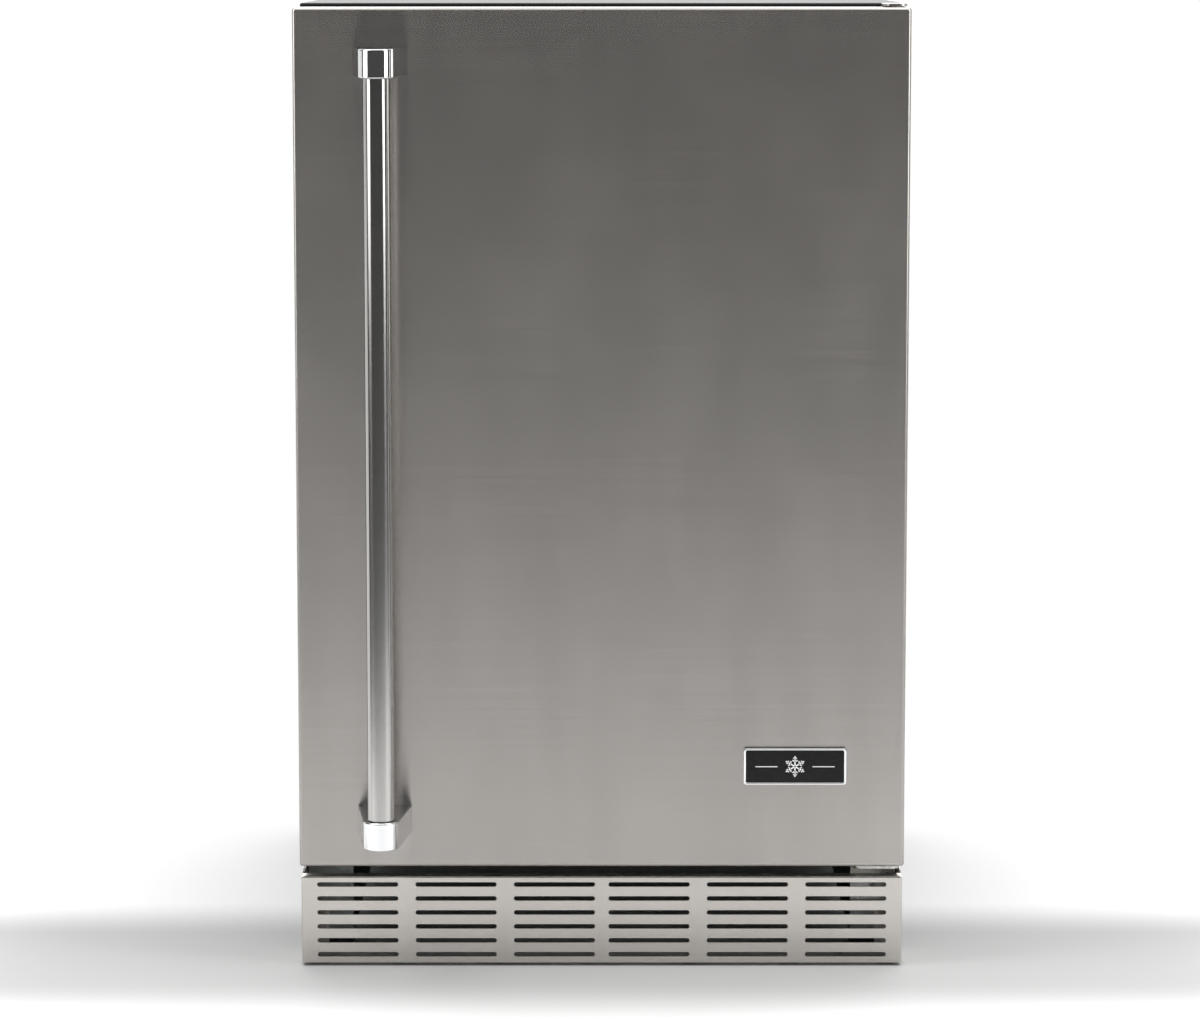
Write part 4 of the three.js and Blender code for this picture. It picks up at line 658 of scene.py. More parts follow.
def moulded(name, base, rough, grit, depth, mottle=0.04):
    """A moulded plastic: its tool's grit in the surface and a slight unevenness in its tone."""
    material, tree, shader = new_finish(name, {"IOR": 1.5})
    tone = grain(tree, 45, 1 - mottle, 1 + mottle, detail=3.0)
    tree.links.new(shaded(tree, base, tone), shader.inputs["Base Color"])
    dull = grain(tree, 30, rough - 0.05, rough + 0.05, detail=4.0)
    tree.links.new(dull, shader.inputs["Roughness"])
    raise_surface(tree, shader, grain(tree, grit, 0.0, 1.0, start=0.0, stop=1.0), 2 * depth)
    return material, shader


def liner_plastic(name):
    """Vacuum-formed polystyrene: warm white, half gloss, soft where light enters it."""
    material, shader = moulded(name, colours().liner, 0.32, 1.6, 0.012, 0.015)
    shader.inputs["Subsurface Weight"].default_value = 0.1
    shader.inputs["Subsurface Scale"].default_value = 0.004
    return material


def grey_plastic(name):
    """Injection-moulded polypropylene in grey, with the fine spark grain of its tool."""
    return moulded(name, colours().grey, 0.45, 0.9, 0.03)[0]


def black_plastic(name):
    """Glass-filled nylon in black: matt, with a coarser tool grain."""
    return moulded(name, colours().black, 0.52, 1.1, 0.05, 0.12)[0]


def dark_rubber(name):
    """Extruded soft PVC and rubber: dull, with dust-like paler patches."""
    material, shader = moulded(name, colours().rubber, 0.68, 1.4, 0.04, 0.15)
    shader.inputs["Sheen Weight"].default_value = 0.15
    return material


def insulation_foam(name):
    """Rigid polyurethane foam: straw yellow, matt, with cells drawn 2 mm across."""
    material, tree, shader = new_finish(name, {"Roughness": 0.9})
    cells = add_node(
        tree, "ShaderNodeTexVoronoi", {"Vector": object_place(tree), "Scale": 1 / (2 * MM)}
    )
    tone = grain(tree, 25, 0.88, 1.08, detail=4.0)
    tree.links.new(shaded(tree, colours().foam, tone), shader.inputs["Base Color"])
    raise_surface(tree, shader, cells.outputs["Distance"], 0.6)
    return material


def shelf_glass(name):
    """Toughened glass 4 mm thick: clear with a green edge, and wiped film on its faces."""
    material, tree, shader = new_finish(
        name, {"Base Color": colours().glass_tint, "Transmission Weight": 1.0, "IOR": 1.52}
    )
    tree.links.new(grain(tree, 70, 0.0, 0.06, detail=5.0), shader.inputs["Roughness"])
    return material


def clear_plastic(name):
    """Injection-moulded styrene: clear, faintly blue, with flow lines in its faces."""
    material, tree, shader = new_finish(
        name, {"Base Color": colours().clear_tint, "Transmission Weight": 0.92, "IOR": 1.57}
    )
    tree.links.new(grain(tree, 40, 0.05, 0.14, detail=4.0), shader.inputs["Roughness"])
    raise_surface(tree, shader, grain(tree, 22, 0.0, 1.0, (3, 1, 1)), 0.06)
    return material


def frosted_plastic(name):
    """Frosted acrylic over the lamp: milky, with prisms moulded across it every 3 mm."""
    material, tree, shader = new_finish(name, {
        "Base Color": linear("#f4f4ef"), "Transmission Weight": 0.5, "IOR": 1.49,
        "Roughness": 0.45,
    })
    prisms = add_node(
        tree, "ShaderNodeTexWave", {"Vector": object_place(tree), "Scale": 0.31 / (3 * MM)}
    )
    raise_surface(tree, shader, prisms.outputs[1], 0.3)
    return material


def aluminium_fins(name):
    """Rolled aluminium foil: bright, streaked along its rolling, with a thin white bloom."""
    material, tree, shader = new_finish(name, {"Metallic": 1.0})
    tone = grain(tree, 3, 0.88, 1.05, (1, 1, 12), 3.0)
    tree.links.new(shaded(tree, colours().aluminium, tone), shader.inputs["Base Color"])
    tree.links.new(grain(tree, 9, 0.3, 0.48), shader.inputs["Roughness"])
    return material


def copper_tube(name):
    """Drawn copper, bright where handled and browned near the brazed joints."""
    material, tree, shader = new_finish(name, {"Metallic": 1.0})
    brown = linear("#7d4a33")
    tarnish = grain(tree, 18, 0.0, 0.7, detail=4.0, start=0.42, stop=0.75)
    tree.links.new(blended(tree, tarnish, colours().copper, brown), shader.inputs["Base Color"])
    tree.links.new(grain(tree, 10, 0.2, 0.42), shader.inputs["Roughness"])
    return material


FINISHES = {make.__name__: make for make in (
    brushed_stainless, grille_stainless, ground_stainless, polished_chrome, black_enamel,
    galvanised_steel, zinc_plate, badge_enamel, liner_plastic, grey_plastic, black_plastic,
    frosted_plastic, clear_plastic, dark_rubber, insulation_foam, shelf_glass, aluminium_fins,
    copper_tube,
)}


# ---------- Door and its fittings ----------


def door_sheet():
    """The door's sheet, folded back on four sides, with a lip that the lining sits in."""
    size = sizes()
    sheet, lip, edge = size.door_sheet, size.door_lip, size.door_edge
    outside = [(edge - a, DOOR.y0 + edge - b) for a, b in arc(0, 0, edge, math.pi / 2, 0, 5)]
    bend = 2 * MM
    behind = [(bend - a, DOOR.y1 - bend + b) for a, b in arc(0, 0, bend, 0, math.pi / 2, 4)]
    inside = [(lip, DOOR.y1), (lip, DOOR.y1 - sheet), (2 * sheet, DOOR.y1 - sheet)]
    inside += [(sheet, DOOR.y1 - 2 * sheet), (sheet, DOOR.y0 + edge), (edge, DOOR.y0 + sheet)]
    bm = bmesh.new()
    add_dish(bm, "y", (DOOR.x0, DOOR.x1, DOOR.z0, DOOR.z1), outside + behind + inside, edge)
    folded = make_piece("door_folded_sheet", bm, "brushed_stainless", "door", "door_skin")
    radius, past = BUSH_RADIUS + CLEAR, 4 * MM
    holes = bmesh.new()
    for name in HINGE_ENDS:
        bush = sides("hinge_bush_" + name)
        low, high = bush.z0 - past, bush.z1 + past
        rod = [(0, low), (radius, low), (radius, high), (0, high)]
        add_turned(holes, rod, "z", PIVOT_AXIS, 40)
    drill(folded, holes)


def handle_bar():
    """The handle's tube, with its ends turned square."""
    bar = sides("handle_bar")
    radius = half_width(bar)
    inner = radius - sizes().bar_wall
    chamfer = 0.4 * MM
    profile = [
        (radius - chamfer, bar.z0), (radius, bar.z0 + chamfer), (radius, bar.z1 - chamfer),
        (radius - chamfer, bar.z1), (inner, bar.z1), (inner, bar.z0),
    ]
    bm = bmesh.new()
    add_turned(bm, profile, "z", centre_of(bar)[:2], 96, closed=True)
    make_piece("handle_tube", bm, "ground_stainless", "door", "handle_bar")


def handle_bracket(end):
    """A cast bracket: flat foot on the door, sides that run as tangents to its round nose."""
    node = "handle_bracket_" + end
    box = sides(node)
    reach = sizes().bracket_reach
    half = half_width(box)
    nose = box.y1 - box.y0 - reach
    centre = centre_of(box)[0]
    to_corner = math.atan2(reach, -half)
    start = to_corner + math.acos(nose / math.hypot(half, reach))
    outline = [(centre + half, box.y1), (centre - half, box.y1)]
    outline += arc(centre, box.y1 - reach, nose, start, 3 * math.pi - start, 36)
    bm = bmesh.new()
    add_prism(bm, outline, "z", box.z0, box.z1)
    bmesh.ops.recalc_face_normals(bm, faces=bm.faces)
    foot = box.y1 - 0.01 * MM
    edges = [e for e in sharp_edges(bm) if min(v.co.y for v in e.verts) < foot]
    round_edges(bm, edges, sizes().bracket_edge, 4)
    make_piece("handle_casting_" + end, bm, "polished_chrome", "door", node, corner=40)


def badge():
    """A plated frame round an enamel plate that carries a plain snow-crystal emblem."""
    box = sides("badge")
    rim = sizes().badge_rim
    corner = 2.5 * MM
    face = box.y0 + 1.2 * MM
    bm = bmesh.new()
    outer = rounded_rectangle(box.x0, box.x1, box.z0, box.z1, corner)
    inner = rounded_rectangle(
        box.x0 + rim, box.x1 - rim, box.z0 + rim, box.z1 - rim, corner - 1 * MM
    )
    loops = [[(x, y, z) for x, z in ring] for ring, y in (
        (inner, box.y1), (outer, box.y1), (outer, box.y0), (inner, box.y0), (inner, box.y1)
    )]
    add_loft(bm, loops, cap_last=False)
    bmesh.ops.remove_doubles(bm, verts=bm.verts, dist=MM / 1000)
    bmesh.ops.recalc_face_normals(bm, faces=bm.faces)
    front = [e for e in sharp_edges(bm) if max(v.co.y for v in e.verts) < box.y0 + 0.1 * MM]
    round_edges(bm, front, 0.6 * MM, 3)
    make_piece("badge_frame", bm, "polished_chrome", "door", "badge")
    bm = bmesh.new()
    gap = 0.1 * MM
    plate = rounded_rectangle(
        box.x0 + rim + gap, box.x1 - rim - gap, box.z0 + rim + gap, box.z1 - rim - gap,
        corner - 1 * MM,
    )
    add_prism(bm, plate, "y", face, box.y1)
    make_piece("badge_plate", bm, "badge_enamel", "door")
    bm = bmesh.new()
    x, _, z = centre_of(box)
    add_crystal(bm, x, z, 9 * MM, face)
    for side in (-1, 1):
        start = x + side * 15 * MM
        low, high = sorted((start, start + side * 19 * MM))
        add_rounded_box(
            bm, low, high, face - 0.5 * MM, face, z - 0.6 * MM, z + 0.6 * MM, 0.2 * MM, 2
        )
    make_piece("badge_emblem", bm, "polished_chrome", "door")


def add_crystal(bm, x, z, radius, face):
    """A snow crystal of six arms, each with two pairs of short branches."""
    thick = 0.55 * MM
    for arm in range(6):
        turn = Matrix.Translation((x, 0, z)) @ Matrix.Rotation(math.radians(60 * arm), 4, "Y")
        verts = add_box(bm, -thick, thick, face - 0.5 * MM, face, 0, radius)
        for place, reach in ((0.45, 0.3), (0.72, 0.2)):
            for side in (-1, 1):
                branch = add_box(
                    bm, -thick * 0.8, thick * 0.8, face - 0.5 * MM, face, 0, radius * reach
                )
                lean = Matrix.Translation((0, 0, radius * place)) @ Matrix.Rotation(
                    side * math.radians(60), 4, "Y"
                )
                bmesh.ops.transform(bm, matrix=lean, verts=branch)
                verts += branch
        bmesh.ops.transform(bm, matrix=turn, verts=verts)


# ---------- Kick grille ----------


def kick_grille():
    """The slotted sheet below the door, folded at its top and round both sides."""
    size = sizes()
    g = GRILLE
    flange = g.y0 + size.grille_flange
    tab = 20 * MM
    tab_top = g.z1 - 40 * MM
    faces = [
        [(g.x0, g.y0, g.z0), (g.x1, g.y0, g.z0), (g.x1, g.y0, g.z1), (g.x0, g.y0, g.z1)],
        [(g.x0, g.y0, g.z1), (g.x1, g.y0, g.z1), (g.x1, flange, g.z1), (g.x0, flange, g.z1)],
    ]
    for x, inward in ((g.x0, 1), (g.x1, -1)):
        tab_end = x + inward * tab
        faces += [
            [(x, g.y0, g.z0), (x, g.y0, g.z1), (x, flange, g.z1), (x, flange, g.z0)],
            [
                (x, flange, g.z0), (x, flange, g.z1), (x, g.y1, g.z1),
                (x, g.y1, tab_top), (x, g.y1, g.z0),
            ],
            [
                (x, g.y1, g.z0), (x, g.y1, tab_top),
                (tab_end, g.y1, tab_top), (tab_end, g.y1, g.z0),
            ],
        ]
    bm = bmesh.new()
    add_sheet_faces(bm, faces)
    fold_sheet(bm, 1.6 * MM, size.grille_sheet)
    grille = make_piece(
        "kick_grille_sheet", bm, "grille_stainless", "cabinet", "kick_grille", outward=False
    )
    slots = bmesh.new()
    pitch = size.slot_length + size.slot_gap
    first = size.slot_centre_gap / 2 + size.slot_length / 2
    lowest = (g.z0 + g.z1 - (size.slot_rows - 1) * size.slot_pitch) / 2
    for row in range(size.slot_rows):
        z = lowest + row * size.slot_pitch
        for column in range(size.slot_columns // 2):
            for side in (-1, 1):
                x = side * (first + column * pitch)
                outline = stadium(x, z, size.slot_length, size.slot_height)
                add_prism(slots, outline, "y", g.y0 - CUT_PAST, g.y0 + CUT_PAST)
    drill(grille, slots)


# ---------- Cabinet shell ----------


def cabinet_wrap():
    """One sheet over the top and both sides, with narrow returns that the seal closes on."""
    w = WRAP
    inner = GASKET.x1 - (GASKET.z1 - LINER.z1)
    rim = w.x1 - inner
    high = w.z1 - rim
    faces = [
        [(w.x0, w.y0, w.z1), (w.x1, w.y0, w.z1), (w.x1, w.y1, w.z1), (w.x0, w.y1, w.z1)],
        [(w.x0, w.y0, w.z1), (w.x1, w.y0, w.z1), (inner, w.y0, high), (-inner, w.y0, high)],
    ]
    for x, edge in ((w.x0, -inner), (w.x1, inner)):
        faces.append([
            (x, w.y0, w.z0), (x, w.y1, w.z0), (x, w.y1, w.z1), (x, w.y0, w.z1), (x, w.y0, LINER.z0)
        ])
        faces.append([
            (x, w.y0, LINER.z0), (edge, w.y0, LINER.z0), (edge, w.y0, high), (x, w.y0, w.z1)
        ])
    bm = bmesh.new()
    add_sheet_faces(bm, faces)
    fold_sheet(bm, 2 * MM, 1 * MM)
    make_piece("cabinet_folded_wrap", bm, "black_enamel", "cabinet", "cabinet_wrap", outward=False)


def back_panel():
    """The back's sheet, pressed inwards so that it doesn't drum, and screwed all round."""
    b = BACK
    bm = bmesh.new()
    pressed = [(30, 0, 30), (33, 0.8, 28), (37, 2.6, 24), (40, 3, 22)]
    profile = [(0, b.y0), (0, b.y1 - 0.4 * MM), (0.4 * MM, b.y1)]
    profile += [(inset * MM, b.y1 - drop * MM, corner * MM) for inset, drop, corner in pressed]
    add_dish(bm, "y", (b.x0, b.x1, b.z0, b.z1), profile, 1 * MM)
    for side in (-1, 1):
        for step in range(5):
            z = b.z0 + 20 * MM + step * (b.z1 - b.z0 - 40 * MM) / 4
            add_screw(bm, "y", b.y1, side * (b.x1 - 12 * MM), z, 1)
    for step in (-1, 0, 1):
        for z in (b.z0 + 12 * MM, b.z1 - 12 * MM):
            add_screw(bm, "y", b.y1, step * 130 * MM, z, 1)
    make_piece("back_pressed_sheet", bm, "black_enamel", "cabinet", "back_panel")


def machine_cover():
    """The lower cover, with louvres whose hoods are pressed outwards over each opening."""
    c = sides("machine_cover")
    half_gap, columns, pitch = 25 * MM, 3, 16 * MM
    column = (c.x1 - c.x0) / columns
    lowest = BASE_RAIL_TOP
    rows = int((c.z1 - 20 * MM - lowest) / pitch) + 1
    bm = bmesh.new()
    add_rounded_box(bm, *c, 0.35 * MM, 2)
    cover = make_piece("machine_cover_sheet", bm, "black_enamel", "cabinet", "machine_cover")
    slots = bmesh.new()
    hoods = bmesh.new()
    for row in range(rows):
        z = lowest + row * pitch
        for i in range(columns):
            x0 = c.x0 + i * column + half_gap
            x1 = x0 + column - 2 * half_gap
            middle = (x0 + x1) / 2
            slot = stadium(middle, z, x1 - x0, 5 * MM)
            add_prism(slots, slot, "y", c.y0 - CUT_PAST, c.y1 + CUT_PAST)
            add_hood(hoods, x0 - 2 * MM, x1 + 2 * MM, c.y1, z)
    g = sides("cord_gland")
    x, _, z = centre_of(g)
    hole = circle(x, z, half_width(g) - 2.7 * MM, 40)
    add_prism(slots, hole, "y", c.y0 - CUT_PAST, c.y1 + CUT_PAST)
    drill(cover, slots)
    for x in (c.x0 + 10 * MM, 0, c.x1 - 10 * MM):
        for z in (c.z0 + 12 * MM, c.z1 - 9 * MM):
            add_screw(hoods, "y", c.y1, x, z, 1)
    make_piece("machine_cover_hoods", hoods, "black_enamel", "cabinet")


def add_hood(bm, x0, x1, y, z):
    """A louvre's hood: a quarter round that leans out over its slot and closes at both ends."""
    reach, rise, end = 4 * MM, 6 * MM, 5 * MM
    rows = []
    steps = 6
    for i in range(steps + 1):
        turn = i / steps * math.pi / 2
        out, up = reach * math.cos(turn), z - 1 * MM + rise * math.sin(turn)
        rows.append([(x0, y, up), (x0 + end, y + out, up), (x1 - end, y + out, up), (x1, y, up)])
    grid = [[bm.verts.new(point) for point in row] for row in rows]
    for low, high in zip(grid, grid[1:]):
        for i in range(3):
            bm.faces.new((low[i], low[i + 1], high[i + 1], high[i]))


# ---------- Hinges and feet ----------


def hinges():
    """Both brackets, both pins, both bushes and the block that stops the door."""
    for name, plate in zip(HINGE_ENDS, (2.2 * MM, 3 * MM)):
        hinge_bracket(name, plate)
    for name, end in zip(HINGE_ENDS, (1, -1)):
        hinge_pin(name, end)
    for name in HINGE_ENDS:
        hinge_bush(name)
    bm = bmesh.new()
    add_rounded_box(bm, *sides("door_stop"), 0.8 * MM)
    make_piece("door_stop_block", bm, "grey_plastic", "door", "door_stop")


def hinge_bracket(name, plate):
    """A bracket of a plate and a leg that is screwed to the cabinet."""
    box = sides(name + "_hinge_bracket")
    leg_face = box.y1 - 3 * MM
    bm = bmesh.new()
    add_hinge_plate(bm, box, box.z1 - plate)
    add_rounded_box(bm, box.x0, box.x1, leg_face, box.y1, box.z0, box.z1 - 0.2 * MM, 0.6 * MM)
    add_screw(bm, "y", leg_face, centre_of(box)[0], box.z0 + 12 * MM, -1, 3 * MM)
    make_piece(name + "_hinge_plate", bm, "zinc_plate", "cabinet", name + "_hinge_bracket")


def hinge_pin(name, end):
    """A turned pin with a socket in its outer end, up for 1 and down for -1."""
    pin = sides(name + "_hinge_pin")
    out, back = (pin.z1, pin.z0) if end > 0 else (pin.z0, pin.z1)
    bevel = 0.6 * MM * end
    socket = 1.8 * MM
    profile = [
        (0, back), (PIN_RADIUS - 0.8 * MM, back), (PIN_RADIUS, back + 2 * bevel),
        (PIN_RADIUS, out - bevel), (PIN_RADIUS - 0.6 * MM, out), (socket, out),
        (socket, out - 4 * bevel), (0, out - 4 * bevel),
    ]
    bm = bmesh.new()
    add_turned(bm, profile, "z", PIVOT_AXIS, 40)
    make_piece(name + "_hinge_turned_pin", bm, "zinc_plate", "cabinet", name + "_hinge_pin")


def hinge_bush(name):
    """A bush with bevelled ends; the lower one has a flange under the door."""
    bush = sides("hinge_bush_" + name)
    wide = half_width(bush)
    bore = PIN_RADIUS + 0.35 * MM
    bevel = 0.4 * MM
    mouth = bore + 0.6 * MM
    profile = [(mouth, bush.z1), (BUSH_RADIUS - bevel, bush.z1), (BUSH_RADIUS, bush.z1 - bevel)]
    if wide > BUSH_RADIUS + 1 * MM:
        seat = DOOR.z0 - CLEAR
        profile += [(BUSH_RADIUS, seat), (wide - bevel, seat), (wide, seat - bevel)]
    profile += [(wide, bush.z0 + 0.5 * MM), (wide - 0.5 * MM, bush.z0), (mouth, bush.z0)]
    profile += [(bore, bush.z0 + 0.6 * MM), (bore, bush.z1 - 0.6 * MM)]
    bm = bmesh.new()
    add_turned(bm, profile, "z", PIVOT_AXIS, 40, closed=True)
    make_piece(name + "_hinge_turned_bush", bm, "black_plastic", "door", "hinge_bush_" + name)


def add_hinge_plate(bm, box, low):
    """A plate whose front end is round about the pivot, drilled for the pin."""
    front = box.y0
    corner = min(7 * MM, half_width(box) * 0.7)
    outline = [(box.x0, box.y1), (box.x1, box.y1)]
    outline += arc(box.x1 - corner, front + corner, corner, 0, -math.pi / 2, 8)
    outline += arc(box.x0 + corner, front + corner, corner, -math.pi / 2, -math.pi, 8)
    verts = add_prism(bm, outline, "z", low, box.z1)
    bmesh.ops.recalc_face_normals(bm, faces=bm.faces)
    round_edges(bm, sharp_edges(bm, verts), 0.4 * MM, 2)


def feet():
    """Levelling feet: a pad, a hexagonal collar to turn it by, and a threaded stud."""
    for name in ("front_left", "front_right", "rear_left", "rear_right"):
        box = sides("foot_" + name)
        pad, floor = half_width(box), box.z0
        centre = centre_of(box)[:2]
        profile = [
            (0, floor), (pad - 2 * MM, floor), (pad - 0.6 * MM, floor + 0.5 * MM),
            (pad, floor + 1.6 * MM), (pad, floor + 4 * MM), (pad - 0.8 * MM, floor + 5.4 * MM),
            (pad - 4 * MM, floor + 6.5 * MM), (0, floor + 6.5 * MM),
        ]
        bm = bmesh.new()
        add_turned(bm, profile, "z", centre, 36)
        hexagon = circle(*centre, 8 * MM, 6)
        verts = add_prism(bm, hexagon, "z", floor + 5.5 * MM, floor + 11.7 * MM)
        bmesh.ops.recalc_face_normals(bm, faces=bm.faces)
        round_edges(bm, sharp_edges(bm, verts), 0.5 * MM, 2)
        make_piece("foot_pad_" + name, bm, "black_plastic", name + "_foot", "foot_" + name)
        crest, pitch = 4 * MM, 1.25 * MM
        root = crest - 0.7 * MM
        z = floor + 11 * MM
        thread = [(0, z)]
        while z < box.z1 - 2 * pitch:
            thread += [(root, z), (crest, z + pitch / 2)]
            z += pitch
        thread += [(root, z), (crest - 1 * MM, box.z1), (0, box.z1)]
        bm = bmesh.new()
        add_turned(bm, thread, "z", centre, 24)
        make_piece("foot_stud_" + name, bm, "zinc_plate", name + "_foot")


# ---------- Door's inside ----------


def door_lining():
    """The formed lining: a plate, a soft-edged ridge all round and the lugs that hold the bins."""
    lin = LINING
    depth = 2 * MM
    plate = DOOR.y1
    bm = bmesh.new()
    edge = [(0, plate - depth), (0, plate - 0.5 * MM), (0.5 * MM, plate)]
    add_dish(bm, "y", (lin.x0, lin.x1, lin.z0, lin.z1), edge, 4 * MM)
    rise = lin.y1 - plate
    width = 16 * MM
    ridge_side, ridge_floor, ridge_top = 205 * MM, DOOR.z0 + 51 * MM, DOOR.z1 - 53 * MM
    soft = [(-3, 0), (-1.2, 0.06), (0, 0.22), (0.8, 0.75), (2.2, 0.93), (5, 1)]
    ridge = [(a * MM, plate - CLEAR + b * rise) for a, b in soft]
    ridge += [(width - a, y) for a, y in reversed(ridge)]
    add_frame(bm, "y", (-ridge_side, ridge_side, ridge_floor, ridge_top), ridge, 3 * MM)
    lug_side = ridge_side - width
    for name in BIN_LEVELS:
        z1 = centre_of(sides("door_bin_" + name))[2] - CLEAR
        for side in (-1, 1):
            x0, x1 = mirrored(side, lug_side + 1 * MM, lug_side - 6 * MM)
            add_rounded_box(
                bm, x0, x1, plate - 1 * MM, plate + 16 * MM, z1 - 24 * MM, z1, 1.6 * MM
            )
    make_piece("door_formed_lining", bm, "liner_plastic", "door", "door_liner")


def door_seal():
    """The seal's foot, its folded bellows and the soft face that holds the magnets."""
    g = GASKET
    deep = g.y1 - g.y0
    section = [(0, 0), (-0.2, 0.12), (0.4, 0.24), (3.2, 0.34), (4, 0.42), (1.6, 0.54), (1.2, 0.62)]
    section += [(3.6, 0.7), (0.8, 0.78), (0.6, 0.94), (1.8, 1.0)]
    profile = [((a + 0.2) * MM, g.y0 + b * deep) for a, b in section]
    width = 16 * MM
    profile += [(width - a, y) for a, y in reversed(profile)]
    bm = bmesh.new()
    add_frame(bm, "y", (g.x0, g.x1, g.z0, g.z1), profile, 1.5 * MM)
    make_piece("door_bellows_seal", bm, "dark_rubber", "door", "door_gasket")


def door_bins():
    """Clear trays with thick lips, a dip for the hand, ribs under them and ears on the lugs."""
    wall, soft, lip = 2.5 * MM, 7 * MM, 0.6 * MM
    half = 181 * MM  # tray without its ears
    for name in BIN_LEVELS:
        node = "door_bin_" + name
        box = sides(node)
        z0, z1 = box.z0, box.z1
        outside = arc(soft, z0 + soft, soft, -math.pi / 2, -math.pi, 5)
        outside += [(0, z1 - lip), (lip, z1)]
        inside = [(wall - lip, z1), (wall, z1 - lip), (wall, z0 + soft)]
        inside += [(wall + 1.6 * MM, z0 + wall + 1.6 * MM), (soft, z0 + wall)]
        bm = bmesh.new()
        add_dish(bm, "z", (-half, half, box.y0, box.y1), outside + inside, 9 * MM)
        tray = make_piece("bin_tray_" + name, bm, "clear_plastic", name + "_bin", node)
        dip = bmesh.new()
        low = z0 + 58 * MM
        outline = rounded_rectangle(-half * 0.6, half * 0.6, low, z1 + 24 * MM, 16 * MM, 6)
        add_prism(dip, outline, "y", box.y1 - wall - 2 * MM, box.y1 + 4 * MM)
        drill(tray, dip)
        bm = bmesh.new()
        ear = centre_of(box)[2]
        for side in (-1, 1):
            x0, x1 = mirrored(side, half - 1 * MM, box.x1)
            add_rounded_box(
                bm, x0, x1, box.y0 + 2 * MM, box.y0 + 15.4 * MM, ear, ear + 14 * MM, 1.2 * MM
            )
        for i in range(-3, 4):
            rib = i * 45 * MM
            add_rounded_box(
                bm, rib - 1 * MM, rib + 1 * MM, box.y1 - 0.4 * MM, box.y1 + 0.5 * MM,
                z0 + 10 * MM, z0 + 46 * MM, 0.4 * MM, 2,
            )
        make_piece("bin_ears_" + name, bm, "clear_plastic", name + "_bin")


# ---------- Cabinet's inside ----------


def cabinet_liner():
    """The vacuum-formed liner: soft corners, the step over the machine space, and shelf ledges."""
    wall, soft = sizes().liner_wall, sizes().liner_radius
    x1 = LINER.x1 - wall
    y0, y1 = LINER.y0, LINER.y1 - wall
    z0, z1 = LINER.z0 + wall, LINER.z1 - wall
    step_y, step_z = 107.65 * MM, 302 * MM  # front and top of the step over the machine space
    outline = [(y0, z0), (step_y, z0), (step_y, step_z), (y1, step_z), (y1, z1), (y0, z1)]
    bm = bmesh.new()
    add_prism(bm, outline, "x", -x1, x1)
    front = [f for f in bm.faces if max(v.co.y for v in f.verts) < y0 + 1 * MM]
    bmesh.ops.delete(bm, geom=front, context="FACES")
    bmesh.ops.recalc_face_normals(bm, faces=bm.faces)
    round_edges(bm, sharp_edges(bm), soft, 5)
    bmesh.ops.reverse_faces(bm, faces=bm.faces)
    bmesh.ops.solidify(bm, geom=bm.faces[:], thickness=wall)
    for name in SHELF_LEVELS:
        glass = sides("shelf_glass_" + name)
        trim = sides("shelf_front_trim_" + name)
        for side in (-1, 1):
            a, b = mirrored(side, x1 + 1 * MM, x1 - 8 * MM)
            add_rounded_box(
                bm, a, b, trim.y0 + 5 * MM, glass.y1 + 3 * MM,
                glass.z0 - 6.3 * MM, glass.z0 - CLEAR, 2 * MM, 4,
            )
    make_piece(
        "cabinet_formed_liner", bm, "liner_plastic", "cabinet", "inner_liner", outward=False
    )


def shelves():
    """Glass with ground edges, a moulded trim on its front and a low bar along its back."""
    for name in SHELF_LEVELS:
        node = "shelf_glass_" + name
        box = sides(node)
        bm = bmesh.new()
        add_rounded_box(bm, *box, 1.1 * MM, 3)
        make_piece("shelf_ground_glass_" + name, bm, "shelf_glass", "cabinet", node)
        trim = sides("shelf_front_trim_" + name)
        middle = centre_of(trim)[2]
        half = (trim.z1 - trim.z0) / 2
        slot = (box.z1 - box.z0) / 2 + CLEAR
        web = trim.y0 + 3 * MM
        outline = arc(trim.y0 + half, middle, half - 0.2 * MM, math.pi * 1.5, math.pi / 2, 12)
        outline += [
            (trim.y1, middle + half - 2 * MM), (trim.y1, middle + slot), (web, middle + slot),
            (web, middle - slot), (trim.y1, middle - slot), (trim.y1, middle - half + 2 * MM),
        ]
        bm = bmesh.new()
        add_prism(bm, outline, "x", trim.x0, trim.x1)
        make_piece(
            "shelf_moulded_trim_" + name, bm, "grey_plastic", "cabinet",
            "shelf_front_trim_" + name,
        )
        bm = bmesh.new()
        add_rounded_box(
            bm, trim.x0, trim.x1, box.y1 - 8 * MM, box.y1 - 1 * MM,
            box.z1, box.z1 + 9 * MM, 2 * MM, 4,
        )
        make_piece("shelf_back_bar_" + name, bm, "grey_plastic", "cabinet")


